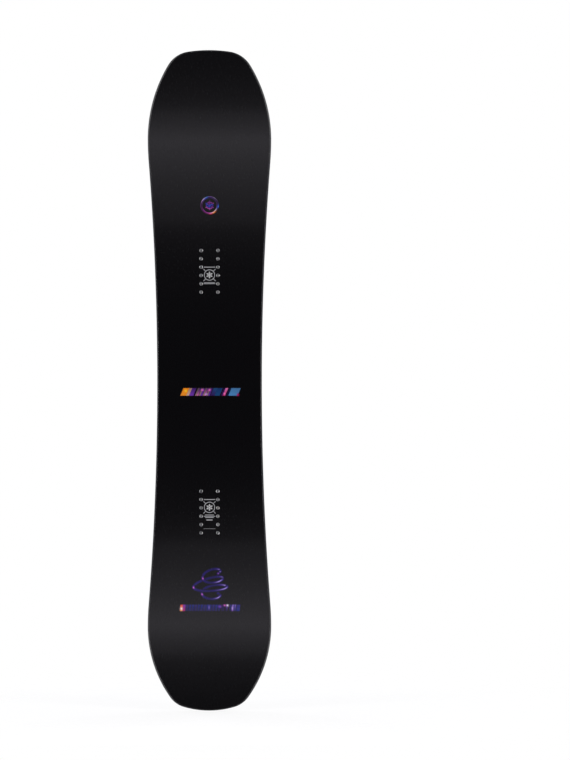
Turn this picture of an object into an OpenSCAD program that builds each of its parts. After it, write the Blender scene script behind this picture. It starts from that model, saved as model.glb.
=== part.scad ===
// Snowboard deck of sandwich construction, shown without bindings.
//
// The deck is drawn lying on its base: +Y runs from the tail to the nose, +X to the toe side
// and +Z out of the top sheet. stand() then turns it upright, nose up, top sheet facing -Y.
// The origin is the middle of the flat running base, at the waist.

/* [Outline] */
// Waist width, the narrowest part of the deck
waist_w = 251; // [240:1:262]
// Widest part, at the nose and tail contact points
contact_w = 296; // [288:1:304]
// Distance between the nose and tail contact points
contact_len = 1168; // [1156:4:1200]
// Radius of the blend from the sidecut into the contact point
blend_r = 700; // [600:50:1000]

/* [Nose] */
// Nose length beyond its contact point, seen from above
nose_len = 209; // [204:1:214]
// Radius of the nose's flank, next to the contact point
nose_flank_r = 329; // [322:1:336]
// Radius of the nose's rounded corners
nose_corner_r = 69; // [60:1:76]
// Radius of the nose's blunt end
nose_end_r = 346; // [330:1:360]

/* [Tail] */
// Tail length beyond its contact point, seen from above
tail_len = 197; // [193:1:202]
// Radius of the tail's flank, next to the contact point
tail_flank_r = 279; // [274:1:286]
// Radius of the tail's rounded corners
tail_corner_r = 61; // [54:1:68]
// Radius of the tail's blunt end
tail_end_r = 222; // [212:1:236]

/* [Side profile] */
// Half length of the deck's middle, where the base is flat and the core even
flat_half = 380; // [377:1:386]
// Radius of the gentle early rise outside the flat middle
rise_r = 2600; // [2200:100:5000]
// Distance from the middle at which the nose and tail start to kick up
kick_start = 580; // [560:5:600]
// Radius of the nose and tail kick
kick_r = 760; // [640:10:900]

/* [Layers] */
// Thickness of the running base
base_t = 1.3; // [1.1:0.1:1.6]
// Thickness of the steel edge's anchoring teeth
tooth_t = 0.5; // [0.4:0.05:0.7]
// Thickness of the rubber damping strips
damper_t = 0.3; // [0.2:0.05:0.4]
// Thickness of the glass laminate below the core
lower_glass_t = 0.7; // [0.5:0.1:0.9]
// Core thickness in the middle
core_t = 5.8; // [5.4:0.1:7]
// Core and spacer thickness at the tips
core_tip_t = 1.5; // [1.2:0.1:2]
// Thickness of the glass laminate above the core
upper_glass_t = 0.7; // [0.6:0.1:0.9]
// Thickness of the top sheet
topsheet_t = 0.6; // [0.5:0.1:0.8]
// Resin film left between neighbouring layers
bond_t = 0.05; // [0.04:0.01:0.06]

/* [Edges and sidewalls] */
// Width of steel that shows beside the base
edge_w = 2.1; // [1.8:0.1:2.5]
// Reach of the edge's teeth into the deck, from the rim
tooth_reach = 7.5; // [6:0.5:9]
// Pitch of the edge's teeth
tooth_pitch = 24; // [20:1:30]
// Reach of the damping strips into the deck, from the rim
damper_reach = 14; // [12:1:18]
// Width of the sidewalls at their foot
sidewall_w = 9; // [8:0.5:12]
// Inset of the sidewall's head, which gives its bevel
bevel_w = 3.4; // [2:0.1:4]

/* [Core] */
// Half length of the sidewalls, from the middle
sidewall_half = 610; // [600:5:630]
// Half length of the wood core, from the middle
core_half = 655; // [645:5:670]
// Width of one wood strip
strip_w = 20; // [20:1:20]

/* [Binding inserts] */
// Distance between the centres of the two insert packs
pack_distance = 577; // [560:1:585]
// Shift of both packs towards the tail
setback = 21; // [0:0.5:25]
// Spacing across the deck between the two columns of a pack
column_pitch = 40; // [40:1:40]
// Spacing along the deck between the six rows of a pack
row_pitch = 20; // [20:1:20]
// Radius of an insert's barrel
barrel_r = 4.5; // [4.2:0.1:5]
// Radius of the threaded bore, at the minor diameter of an M6 thread
bore_r = 2.5; // [2.4:0.05:2.6]
// Radius of an insert's foot flange
flange_r = 9; // [8:0.5:9.5]
// Thickness of an insert's foot flange
flange_t = 0.8; // [0.6:0.1:1]
// Thickness of the seal disc under an insert
seal_t = 0.3; // [0.2:0.05:0.4]
// Thickness of the reinforcing mat under the bindings
mat_t = 0.4; // [0.3:0.05:0.6]

/* [Hidden] */

$fn = 48;
SEAM = 0.1;           // gap between a rim part and the sheet beside it
HOLE_GAP = 0.05;      // gap round an insert in the layers that it passes through
CARBON_T = 0.25;      // thickness of a carbon tape
CARBON_W = 28;        // width of a carbon tape
TOOTH_STEM = 1.2;     // reach of the edge's foot between its teeth, past the steel that shows
TOOTH_SHARE = 0.55;   // share of the pitch that a tooth fills
TOOTH_FLANK = 0.03;   // share of the pitch that a tooth's flank takes
PLAN_STEP = 14;       // longest outline segment
PLAN_TURN = 4;        // most degrees that one outline segment turns
PROFILE_STEP = 12;    // spacing of the profile's stations in the kicks
SPACER_STEPS = 10;    // segments of a tip spacer from the rim inwards
ROWS = 6;
MAT_MARGIN = 8;       // how far a mat reaches past its outermost inserts

half_waist = waist_w / 2;
half_contact = contact_w / 2;
contact_y = contact_len / 2;
front_pack_y = pack_distance / 2 - setback;
rear_pack_y = -pack_distance / 2 - setback;

// ---------------------------------------------------------------- outline

// The sidecut is one arc. It touches both blends, which sets its turn and its radius.
sidecut_depth = half_contact - half_waist;
sidecut_turn = 2 * atan(sidecut_depth / contact_y);
sidecut_r = contact_y / sin(sidecut_turn) - blend_r;

// A tip is [length, flank radius, corner radius, end radius]. Its three arcs touch: the corner's
// centre lies flank radius - corner radius from the flank's centre, and end radius - corner
// radius from the end's centre.
nose = [nose_len, nose_flank_r, nose_corner_r, nose_end_r];
tail = [tail_len, tail_flank_r, tail_corner_r, tail_end_r];

function flank_centre(tip) = [half_contact - tip[1], contact_y];
function end_centre(tip) = [0, contact_y + tip[0] - tip[3]];
function corner_centre(tip) =
    let (
        from = flank_centre(tip),
        gap = norm(end_centre(tip) - from),
        dir = (end_centre(tip) - from) / gap,
        flank_gap = tip[1] - tip[2],
        end_gap = tip[3] - tip[2],
        along = (pow(flank_gap, 2) - pow(end_gap, 2) + pow(gap, 2)) / (2 * gap),
        across = sqrt(pow(flank_gap, 2) - pow(along, 2))
    )
    from + along * dir + across * [-dir[1], dir[0]];

function heading(v) = atan2(v[1], v[0]);

// An arc is [centre, radius, first angle, last angle, side]; side is 1 where the deck lies on
// the centre's side and -1 at the sidecut, where it lies on the other.
function blend_arc() = [[half_contact - blend_r, contact_y], blend_r, -sidecut_turn, 0, 1];
function tip_arcs(tip) =
    let (
        corner = corner_centre(tip),
        flank_end = heading(corner - flank_centre(tip)),
        corner_end = heading(corner - end_centre(tip))
    )
    [
        [flank_centre(tip), tip[1], 0, flank_end, 1],
        [corner, tip[2], flank_end, corner_end, 1],
        [end_centre(tip), tip[3], corner_end, 90, 1]
    ];

function flipped(arc) = [[arc[0][0], -arc[0][1]], arc[1], -arc[3], -arc[2], arc[4]];
function reversed(list) = [for (i = [len(list) - 1:-1:0]) list[i]];

sidecut_arc = [
    [half_waist + sidecut_r, 0], sidecut_r, 180 + sidecut_turn, 180 - sidecut_turn, -1
];

// The toe side of the rim, from the end of the tail to the end of the nose.
nose_arcs = tip_arcs(nose);
tail_arcs = reversed([for (arc = tip_arcs(tail)) flipped(arc)]);
side_arcs = [flipped(blend_arc()), sidecut_arc, blend_arc()];
rim_arcs = concat(tail_arcs, side_arcs, nose_arcs);

function arc_length(arc) = abs(arc[3] - arc[2]) * PI / 180 * arc[1];
function arc_steps(arc) =
    max(2, ceil(arc_length(arc) / PLAN_STEP), ceil(abs(arc[3] - arc[2]) / PLAN_TURN));

// The point at a share of an arc, moved into the deck by inset.
function arc_point(arc, share, inset) =
    let (angle = arc[2] + (arc[3] - arc[2]) * share)
    arc[0] + (arc[1] - arc[4] * inset) * [cos(angle), sin(angle)];

// Places along the rim, each [arc, share of the arc].
function places_on(arcs) = [
    for (arc = arcs)
        let (steps = arc_steps(arc))
            for (k = [0:steps - 1]) [arc, k / steps]
];
rim_places = concat(places_on(rim_arcs), [[nose_arcs[2], 1]]);

function rim_point(place, inset) = arc_point(place[0], place[1], inset);

// The place on an arc where the rim, moved in by inset, is at y.
function place_at(arc, y, inset) =
    let (angle = asin((y - arc[0][1]) / (arc[1] - inset)))
    [arc, (angle - arc[2]) / (arc[3] - arc[2])];

module outline(inset) {
    toe = [for (place = rim_places) rim_point(place, inset)];
    heel = [for (i = [len(toe) - 2:-1:1]) [-toe[i][0], toe[i][1]]];
    polygon(concat(toe, heel));
}

// ---------------------------------------------------------------- side profile

// Sine of the base's slope where the rise meets the kick, and its height there.
kick_sine = (kick_start - flat_half) / rise_r;
kick_height = rise_r * (1 - sqrt(1 - kick_sine * kick_sine));

// Sine of the slope at y.
function slope_sine(y) =
    let (out = abs(y))
    out < flat_half ? 0
    : out < kick_start ? (out - flat_half) / rise_r
    : kick_sine + (out - kick_start) / kick_r;

function slope_cosine(y) = sqrt(1 - pow(slope_sine(y), 2));

// Height of the base's running surface at y.
function base_height(y) =
    let (out = abs(y))
    out < flat_half ? 0
    : out < kick_start ? rise_r * (1 - slope_cosine(y))
    : kick_height + kick_r * (sqrt(1 - kick_sine * kick_sine) - slope_cosine(y));

// Thickness of the core layer at y: even in the middle, then tapering to the tips.
function core_thickness(y) =
    let (share = (abs(y) - flat_half) / (core_half - flat_half))
    core_t + (core_tip_t - core_t) * max(0, min(1, share));

// Heights of the layers above the running surface, square to it. The core's own thickness
// changes along the deck, so heights above it come from above_core().
tooth_z = base_t + bond_t;
damper_z = tooth_z + tooth_t + bond_t;
lower_glass_z = damper_z + damper_t + bond_t;
core_z = lower_glass_z + lower_glass_t + bond_t;
function above_core(y, extra) = core_z + core_thickness(y) + extra;
deck_z = above_core(0, bond_t + upper_glass_t + bond_t + topsheet_t);

// A level is [height, 0] below the core and [extra, 1] above it.
function level_height(level, y) = level[1] == 0 ? level[0] : above_core(y, level[0]);
function level_z(level, y) = base_height(y) + level_height(level, y) / slope_cosine(y);
function low(height) = [height, 0];
function high(extra) = [extra, 1];

glass_foot = bond_t;
glass_head = bond_t + upper_glass_t;
sheet_foot = glass_head + bond_t;
sheet_head = sheet_foot + topsheet_t;

tail_end = -contact_y - tail_len;
nose_end = contact_y + nose_len;

function stations(from, to) =
    let (count = ceil((to - from) / PROFILE_STEP))
    [for (k = [0:count - 1]) from + (to - from) * k / count];

// Stations along the deck, with one at each place where the profile or the core changes.
profile_y = concat(
    stations(tail_end - 5, -core_half),
    stations(-core_half, -kick_start),
    stations(-kick_start, -flat_half),
    [-flat_half],
    stations(flat_half, kick_start),
    stations(kick_start, core_half),
    stations(core_half, nose_end + 5),
    [nose_end + 5]
);

// The slab between two levels, cut to any plan shape given as children.
module slab(bottom, top) {
    ribbon = concat(
        [for (y = profile_y) [y, level_z(bottom, y)]],
        [for (i = [len(profile_y) - 1:-1:0]) [profile_y[i], level_z(top, profile_y[i])]]
    );
    intersection() {
        rotate([90, 0, 90])
            linear_extrude(contact_w + 20, center = true) polygon(ribbon);
        translate([0, 0, -50]) linear_extrude(200) children();
    }
}

// ---------------------------------------------------------------- swept rim parts

// A solid through sections that each hold the same number of corners.
module loft(sections) {
    count = len(sections[0]);
    last = (len(sections) - 1) * count;
    sides = [
        for (i = [0:len(sections) - 2])
            for (j = [0:count - 1])
                let (a = i * count + j, b = i * count + (j + 1) % count)
                    each [[a, b, b + count], [a, b + count, a + count]]
    ];
    ends = [
        [for (j = [count - 1:-1:0]) j],
        [for (j = [0:count - 1]) last + j]
    ];
    polyhedron([for (section = sections) each section], concat(sides, ends), convexity = 10);
}

// A corner of a rim section: its place along the rim, its inset and its level.
function rim_corner(place, inset, level) =
    let (p = rim_point(place, inset)) [p[0], p[1], level_z(level, p[1])];

// Places along a sidewall, from its tail end to its nose end.
nose_joint = place_at(nose_arcs[0], sidewall_half, 0);
tail_joint = place_at(tail_arcs[2], -sidewall_half, 0);
sidewall_places = concat(
    [tail_joint],
    [for (place = rim_places) if (abs(rim_point(place, 0)[1]) < sidewall_half - 1) place],
    [nose_joint]
);

// ---------------------------------------------------------------- base and edges

module base_sheet() {
    color([0.04, 0.04, 0.05])
        slab(low(0), low(base_t)) outline(edge_w + SEAM);
}

// Places along the rim with the reach of the edge's foot there: four to each tooth.
function tooth_places() = [
    for (arc = rim_arcs)
        let (count = max(1, round(arc_length(arc) / tooth_pitch)))
            for (k = [0:count - 1])
                each [
                    [arc, (k + 0.5 - TOOTH_SHARE / 2 - TOOTH_FLANK) / count, false],
                    [arc, (k + 0.5 - TOOTH_SHARE / 2) / count, true],
                    [arc, (k + 0.5 + TOOTH_SHARE / 2) / count, true],
                    [arc, (k + 0.5 + TOOTH_SHARE / 2 + TOOTH_FLANK) / count, false]
                ]
];

// The two edges butt together at the ends of the nose and the tail.
module steel_edge() {
    tail_cut = SEAM / arc_length(tail_arcs[0]);
    nose_cut = 1 - SEAM / arc_length(nose_arcs[2]);
    places = concat(
        [[tail_arcs[0], tail_cut, false]],
        tooth_places(),
        [[nose_arcs[2], nose_cut, false]]
    );
    top = tooth_z + tooth_t;
    color([0.62, 0.63, 0.65])
        loft([
            for (place = places)
                let (reach = place[2] ? tooth_reach : edge_w + TOOTH_STEM)
                    [
                        rim_corner(place, 0, low(0)),
                        rim_corner(place, edge_w, low(0)),
                        rim_corner(place, edge_w, low(tooth_z)),
                        rim_corner(place, reach, low(tooth_z)),
                        rim_corner(place, reach, low(top)),
                        rim_corner(place, 0, low(top))
                    ]
        ]);
}

module toe_edge() {
    steel_edge();
}

module heel_edge() {
    mirror([1, 0, 0]) steel_edge();
}

module damping_strip() {
    color([0.03, 0.03, 0.03])
        loft([
            for (place = sidewall_places)
                [
                    rim_corner(place, SEAM, low(damper_z)),
                    rim_corner(place, damper_reach, low(damper_z)),
                    rim_corner(place, damper_reach, low(damper_z + damper_t)),
                    rim_corner(place, SEAM, low(damper_z + damper_t))
                ]
        ]);
}

module toe_damping_strip() {
    damping_strip();
}

module heel_damping_strip() {
    mirror([1, 0, 0]) damping_strip();
}

// ---------------------------------------------------------------- laminates

// Tapes that fan out from a pack towards a tip: end_y is the tip's side.
module fan_tapes(start_y, end_y) {
    for (side = [-1, 1])
        hull() {
            translate([side * 34, start_y]) square([CARBON_W, 1], center = true);
            translate([side * 92, end_y]) square([CARBON_W, 1], center = true);
        }
}

module long_tapes() {
    for (side = [-1, 1])
        translate([side * 62, 0]) square([CARBON_W, 2 * core_half - 60], center = true);
}

module lower_carbon_tapes() {
    top = lower_glass_z + lower_glass_t;
    color([0.05, 0.05, 0.06])
        slab(low(top - CARBON_T), low(top)) long_tapes();
}

// The lower laminate fills the space inside the teeth and inside the damping strips, and then
// covers the whole deck. The carbon tapes lie in its upper face.
module lower_glass() {
    top = lower_glass_z + lower_glass_t;
    color([0.75, 0.78, 0.68])
        difference() {
            union() {
                slab(low(tooth_z), low(lower_glass_z)) outline(damper_reach + SEAM);
                slab(low(lower_glass_z), low(top)) outline(SEAM);
            }
            slab(low(top - CARBON_T), low(top + 1)) long_tapes();
        }
}

module nose_carbon_tapes() {
    color([0.05, 0.05, 0.06])
        slab(high(glass_head - CARBON_T), high(glass_head)) fan_tapes(front_pack_y + 70, 690);
}

module tail_carbon_tapes() {
    color([0.05, 0.05, 0.06])
        slab(high(glass_head - CARBON_T), high(glass_head)) fan_tapes(rear_pack_y - 70, -690);
}

module upper_glass() {
    color([0.75, 0.78, 0.68])
        difference() {
            slab(high(glass_foot), high(glass_head)) outline(bevel_w);
            slab(high(glass_head - CARBON_T), high(glass_head + 1)) {
                fan_tapes(front_pack_y + 70, 690);
                fan_tapes(rear_pack_y - 70, -690);
            }
            all_insert_holes(barrel_r + HOLE_GAP);
        }
}

module topsheet() {
    color([0.05, 0.05, 0.06])
        difference() {
            slab(high(sheet_foot), high(sheet_head)) outline(bevel_w + SEAM);
            all_insert_holes(barrel_r + HOLE_GAP);
        }
}

// ---------------------------------------------------------------- core layer

// A sidewall is upright inside and bevelled outside.
module sidewall() {
    color([0.03, 0.03, 0.035])
        loft([
            for (place = sidewall_places)
                [
                    rim_corner(place, SEAM, low(core_z)),
                    rim_corner(place, sidewall_w, low(core_z)),
                    rim_corner(place, sidewall_w, high(0)),
                    rim_corner(place, bevel_w, high(0))
                ]
        ]);
}

module toe_sidewall() {
    sidewall();
}

module heel_sidewall() {
    mirror([1, 0, 0]) sidewall();
}

// A point of a spacer on one side of the deck (side is 1 or -1), at a share of the way in from
// the rim. The way in ends at the inside of the sidewall's line or at the end of the core.
function spacer_point(place, side, share, inset, level) =
    let (
        rim = rim_point(place, inset),
        inner = rim_point(place, sidewall_w),
        end_y = sign(inner[1]) * min(abs(inner[1]), core_half + SEAM),
        p = rim + share * ([inner[0], end_y] - rim)
    )
    [side * p[0], p[1], level_z(level, p[1])];

function spacer_section(place, side) = concat(
    [
        for (k = [0:SPACER_STEPS])
            spacer_point(place, side, k / SPACER_STEPS, SEAM, low(core_z))
    ],
    [
        for (k = [SPACER_STEPS:-1:0])
            spacer_point(place, side, k / SPACER_STEPS, bevel_w, high(0))
    ]
);

// Places round one tip, from its sidewall joint to the deck's end, with one at the corner of
// the core. end is 1 at the nose and -1 at the tail.
function tip_places(end) =
    let (
        flank = end == 1 ? nose_arcs[0] : tail_arcs[2],
        joint = place_at(flank, end * (sidewall_half + SEAM), 0),
        joint_reach = end * rim_point(joint, sidewall_w)[1],
        core_corner = place_at(flank, end * (core_half + SEAM), sidewall_w),
        outward = end == 1 ? rim_places : reversed(rim_places),
        reaches = [for (place = outward) end * rim_point(place, sidewall_w)[1]],
        last = len(outward) - 1
    )
    concat(
        [joint],
        [
            for (i = [0:last])
                if (reaches[i] > joint_reach + 1 && reaches[i] < core_half - 1) outward[i]
        ],
        [core_corner],
        [for (i = [0:last]) if (reaches[i] > core_half + 1) outward[i]]
    );

// A spacer fills a tip round the end of the core, from one sidewall to the other.
module spacer(end) {
    places = tip_places(end);
    color([0.035, 0.035, 0.04])
        loft(concat(
            [for (place = places) spacer_section(place, end)],
            [for (i = [len(places) - 2:-1:0]) spacer_section(places[i], -end)]
        ));
}

module nose_spacer() {
    spacer(1);
}

module tail_spacer() {
    spacer(-1);
}

// The core's plan: the outline inside the sidewalls, cut off square at both ends.
module core_plan() {
    intersection() {
        outline(sidewall_w + SEAM);
        square([contact_w, 2 * core_half], center = true);
    }
}

// Strips are numbered from the middle out; every third one has the same wood.
strip_count = ceil(half_contact / strip_w);

module core_strips(kind) {
    difference() {
        slab(low(core_z), high(0))
            intersection() {
                core_plan();
                for (i = [-strip_count:strip_count])
                    if (abs(i) % 3 == kind)
                        translate([i * strip_w, 0])
                            square([strip_w - 2 * bond_t, 2 * core_half], center = true);
            }
        all_insert_holes(barrel_r + HOLE_GAP);
        all_insert_holes(flange_r + HOLE_GAP, core_z + seal_t + flange_t + HOLE_GAP);
        for (y = [front_pack_y, rear_pack_y])
            translate([0, y, core_z + core_t - mat_t - bond_t]) linear_extrude(5) mat_plan(bond_t);
    }
}

module core_poplar_strips() {
    color([0.85, 0.74, 0.55]) core_strips(0);
}

module core_bamboo_strips() {
    color([0.80, 0.62, 0.36]) core_strips(1);
}

module core_paulownia_strips() {
    color([0.76, 0.66, 0.52]) core_strips(2);
}

// ---------------------------------------------------------------- binding inserts

module at_inserts(pack_y) {
    for (row = [0:ROWS - 1])
        for (side = [-1, 1])
            translate([
                side * column_pitch / 2,
                pack_y + (row - (ROWS - 1) / 2) * row_pitch,
                0
            ])
                children();
}

// Holes for all the inserts, from below the deck up to top, or right through.
module all_insert_holes(radius, top = 100) {
    for (y = [front_pack_y, rear_pack_y])
        at_inserts(y) translate([0, 0, core_z - 1]) cylinder(h = top - core_z + 1, r = radius);
}

module insert_solid() {
    foot = core_z + seal_t;
    top = deck_z - bond_t;
    difference() {
        union() {
            translate([0, 0, foot]) cylinder(h = flange_t, r = flange_r);
            translate([0, 0, foot]) cylinder(h = top - foot, r = barrel_r);
        }
        translate([0, 0, foot - 1]) cylinder(h = top - foot + 2, r = bore_r);
    }
}

module front_inserts() {
    color([0.78, 0.79, 0.80]) at_inserts(front_pack_y) insert_solid();
}

module rear_inserts() {
    color([0.78, 0.79, 0.80]) at_inserts(rear_pack_y) insert_solid();
}

module seal_disc() {
    translate([0, 0, core_z]) cylinder(h = seal_t - bond_t, r = flange_r);
}

module front_insert_seals() {
    color([0.9, 0.9, 0.85]) at_inserts(front_pack_y) seal_disc();
}

module rear_insert_seals() {
    color([0.9, 0.9, 0.85]) at_inserts(rear_pack_y) seal_disc();
}

module mat_plan(gap = 0) {
    square(
        [
            column_pitch + 2 * (barrel_r + MAT_MARGIN + gap),
            (ROWS - 1) * row_pitch + 2 * (barrel_r + MAT_MARGIN + gap)
        ],
        center = true
    );
}

module binding_mat(pack_y) {
    color([0.55, 0.52, 0.38])
        difference() {
            translate([0, pack_y, core_z + core_t - mat_t]) linear_extrude(mat_t) mat_plan();
            all_insert_holes(barrel_r + HOLE_GAP);
        }
}

module front_binding_mat() {
    binding_mat(front_pack_y);
}

module rear_binding_mat() {
    binding_mat(rear_pack_y);
}

// ---------------------------------------------------------------- the deck

module stand() {
    rotate([90, 0, 0]) children();
}

stand() base_sheet();
stand() toe_edge();
stand() heel_edge();
stand() toe_damping_strip();
stand() heel_damping_strip();
stand() lower_glass();
stand() lower_carbon_tapes();
stand() toe_sidewall();
stand() heel_sidewall();
stand() nose_spacer();
stand() tail_spacer();
stand() core_poplar_strips();
stand() core_bamboo_strips();
stand() core_paulownia_strips();
stand() front_binding_mat();
stand() rear_binding_mat();
stand() front_inserts();
stand() rear_inserts();
stand() front_insert_seals();
stand() rear_insert_seals();
stand() upper_glass();
stand() nose_carbon_tapes();
stand() tail_carbon_tapes();
stand() topsheet();
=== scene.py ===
"""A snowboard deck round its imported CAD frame: skins, rims, inserts, inks, light and camera.

Work is done in the deck's own frame, in millimetres: x to the toe side, y towards the nose and
z out of the top sheet. to_row() turns that into the frame's metres, where the deck stands nose up.
"""

import math

import bpy
import numpy as np
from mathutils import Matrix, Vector
from mathutils.geometry import delaunay_2d_cdt

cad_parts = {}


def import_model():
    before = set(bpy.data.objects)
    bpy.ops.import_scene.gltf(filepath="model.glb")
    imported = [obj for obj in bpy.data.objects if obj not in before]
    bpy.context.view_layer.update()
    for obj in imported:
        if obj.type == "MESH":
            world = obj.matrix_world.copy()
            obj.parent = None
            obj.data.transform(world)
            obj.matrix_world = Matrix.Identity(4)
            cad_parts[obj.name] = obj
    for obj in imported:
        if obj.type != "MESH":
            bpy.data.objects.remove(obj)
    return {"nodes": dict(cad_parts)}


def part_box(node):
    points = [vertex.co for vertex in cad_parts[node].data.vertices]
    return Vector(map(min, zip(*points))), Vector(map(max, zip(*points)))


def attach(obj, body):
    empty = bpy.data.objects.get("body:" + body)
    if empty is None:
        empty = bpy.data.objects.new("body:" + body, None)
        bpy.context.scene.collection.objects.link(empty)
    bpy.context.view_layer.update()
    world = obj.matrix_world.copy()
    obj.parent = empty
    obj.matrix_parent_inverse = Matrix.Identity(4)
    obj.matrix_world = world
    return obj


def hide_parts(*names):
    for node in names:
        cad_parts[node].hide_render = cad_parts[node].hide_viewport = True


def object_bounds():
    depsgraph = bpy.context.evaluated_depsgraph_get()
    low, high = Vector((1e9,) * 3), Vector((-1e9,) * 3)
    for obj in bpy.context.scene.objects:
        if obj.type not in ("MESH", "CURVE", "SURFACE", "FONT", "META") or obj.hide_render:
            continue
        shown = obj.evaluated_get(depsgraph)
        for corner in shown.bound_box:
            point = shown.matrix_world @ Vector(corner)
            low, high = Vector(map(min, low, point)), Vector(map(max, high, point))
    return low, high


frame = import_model()
CAD_LOW, CAD_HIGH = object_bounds()
MM = 1000

# ------------------------------------------------------------------ sizes

# The outline's arcs and the side profile, as the CAD part has them.
CONTACT_Y = 584
BLEND_R = 700
NOSE_RADII = (329, 69, 346)
TAIL_RADII = (279, 61, 222)
FLAT_HALF = 380
RISE_R = 2600
KICK_START = 580
KICK_R = 760
CORE_HALF = 655
CORE_TIP_T = 1.5
PROFILE_BLEND = 20      # half width over which the profile's bends run into each other

RIM_STEP = 2.5          # spacing of the rim's stations
SINK = 0.04             # how far a skin lies inside the CAD surface, to leave room for its inks
INK_T = 0.03            # thickness of an ink film
TOOTH_PITCH = 24
TOOTH_FLANK = 0.7
ROWS = 6
ROW_PITCH = 20
COLUMN_X = 20
M6_PITCH = 1.0
M6_DEPTH = 0.5
LATHE_PITCH = 0.16
SHARP_ANGLE = math.radians(35)


def corners(node):
    """A CAD node's corners in the deck's own frame."""
    mesh = frame["nodes"][node].data
    flat = np.empty(len(mesh.vertices) * 3)
    mesh.vertices.foreach_get("co", flat)
    p = flat.reshape(-1, 3) * MM
    return np.stack([p[:, 0], p[:, 2], -p[:, 1]], axis=1)


def layer(node):
    """Lowest and highest level of a CAD node in the deck's flat middle."""
    p = corners(node)
    z = p[np.abs(p[:, 1]) < FLAT_HALF - 10, 2]
    return z.min(), z.max()


def waist_span(node):
    """Smallest and largest distance of a CAD node's corners from the long axis, at the waist."""
    p = corners(node)
    x = np.abs(p[np.abs(p[:, 1]) < 10, 0])
    return x.min(), x.max()


def pack_middle(node):
    """Distance along the deck of an insert pack's middle from the waist."""
    low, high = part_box(node)
    return (low.z + high.z) / 2 * MM


HALF_WIDTH = CAD_HIGH.x * MM
NOSE_END = CAD_HIGH.z * MM
TAIL_END = CAD_LOW.z * MM
HALF_WAIST = waist_span("toe_edge")[1]

BASE_INSET = HALF_WAIST - waist_span("base_sheet")[1]
SHEET_INSET = HALF_WAIST - waist_span("topsheet")[1]
WALL_REACH = HALF_WAIST - waist_span("toe_sidewall")[0]
WALL_INSET = HALF_WAIST - waist_span("toe_sidewall")[1]
BEVEL = HALF_WAIST - waist_span("upper_glass")[1]
TOOTH_REACH = HALF_WAIST - waist_span("toe_edge")[0]
EDGE_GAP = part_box("toe_edge")[0].x * MM
WALL_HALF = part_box("toe_sidewall")[1].z * MM
SPACER_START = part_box("nose_spacer")[0].z * MM

BASE_TOP = layer("base_sheet")[1]
EDGE_TOP = layer("toe_edge")[1]
CORE_FOOT, CORE_HEAD = layer("toe_sidewall")
CORE_T = CORE_HEAD - CORE_FOOT
SHEET_FOOT, SHEET_HEAD = (z - CORE_HEAD for z in layer("topsheet"))
INSERT_FOOT, INSERT_HEAD = layer("front_inserts")
PACKS = {"front": pack_middle("front_inserts"), "rear": pack_middle("rear_inserts")}

# ------------------------------------------------------------------ side profile


def bent(out, values):
    """A profile over `out` with its bends rounded by a window twice PROFILE_BLEND wide."""
    window = np.hanning(int(2 * PROFILE_BLEND / (out[1] - out[0])) + 1)
    return np.convolve(values, window / window.sum(), mode="same")


def profile_tables():
    """Distance from the waist, the base's slope and height, and the core's thickness there."""
    out = np.arange(-60, 900, 0.5)
    kick_sine = (KICK_START - FLAT_HALF) / RISE_R
    rise = np.clip((out - FLAT_HALF) / RISE_R, 0, kick_sine)
    kick = np.maximum(out - KICK_START, 0) / KICK_R
    sine = bent(out, rise + kick)
    slope = sine / np.sqrt(1 - sine**2)
    height = np.concatenate([[0], np.cumsum((slope[1:] + slope[:-1]) / 2 * np.diff(out))])
    share = np.clip((out - FLAT_HALF) / (CORE_HALF - FLAT_HALF), 0, 1)
    core = bent(out, CORE_T + (CORE_TIP_T - CORE_T) * share)
    kept = slice(100, -100)
    return out[kept], slope[kept], height[kept], core[kept]


OUT, SLOPE, HEIGHT, CORE = profile_tables()
CORE_SLOPE = np.gradient(CORE, OUT)


def level(height, y, above_core):
    """The height of a level over y. above_core levels count from the core's upper face."""
    out = np.abs(y)
    total = height + above_core * (CORE_FOOT + np.interp(out, OUT, CORE))
    return np.interp(out, OUT, HEIGHT) + total * np.sqrt(1 + np.interp(out, OUT, SLOPE) ** 2)


def tilt(y, above_core):
    """The slope of a level at y, with its sign."""
    out = np.abs(y)
    slope = np.interp(out, OUT, SLOPE) + above_core * np.interp(out, OUT, CORE_SLOPE)
    return np.sign(y) * slope


def to_row(points):
    """Deck millimetres to the frame's metres."""
    p = np.asarray(points, float)
    return np.stack([p[..., 0], -p[..., 2], p[..., 1]], axis=-1) / MM


def turned(vectors):
    """Directions in the deck's frame, as unit directions in the row frame."""
    v = np.stack([vectors[..., 0], -vectors[..., 2], vectors[..., 1]], axis=-1)
    return v / np.linalg.norm(v, axis=-1, keepdims=True)


# ------------------------------------------------------------------ outline


def tip_arcs(length, radii):
    """Flank, corner and end arc of a tip, each [centre x, centre y, radius, from, to, side]."""
    flank_r, corner_r, end_r = radii
    flank = np.array([HALF_WIDTH - flank_r, CONTACT_Y])
    end = np.array([0, CONTACT_Y + length - end_r])
    gap = np.linalg.norm(end - flank)
    ahead = (end - flank) / gap
    along = ((flank_r - corner_r) ** 2 - (end_r - corner_r) ** 2 + gap**2) / (2 * gap)
    across = math.sqrt((flank_r - corner_r) ** 2 - along**2)
    corner = flank + along * ahead + across * np.array([-ahead[1], ahead[0]])
    flank_end = math.atan2(*(corner - flank)[::-1])
    corner_end = math.atan2(*(corner - end)[::-1])
    return [
        [*flank, flank_r, 0, flank_end, 1],
        [*corner, corner_r, flank_end, corner_end, 1],
        [*end, end_r, corner_end, math.pi / 2, 1],
    ]


def flipped(arc):
    x, y, r, start, stop, side = arc
    return [x, -y, r, -stop, -start, side]


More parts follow.
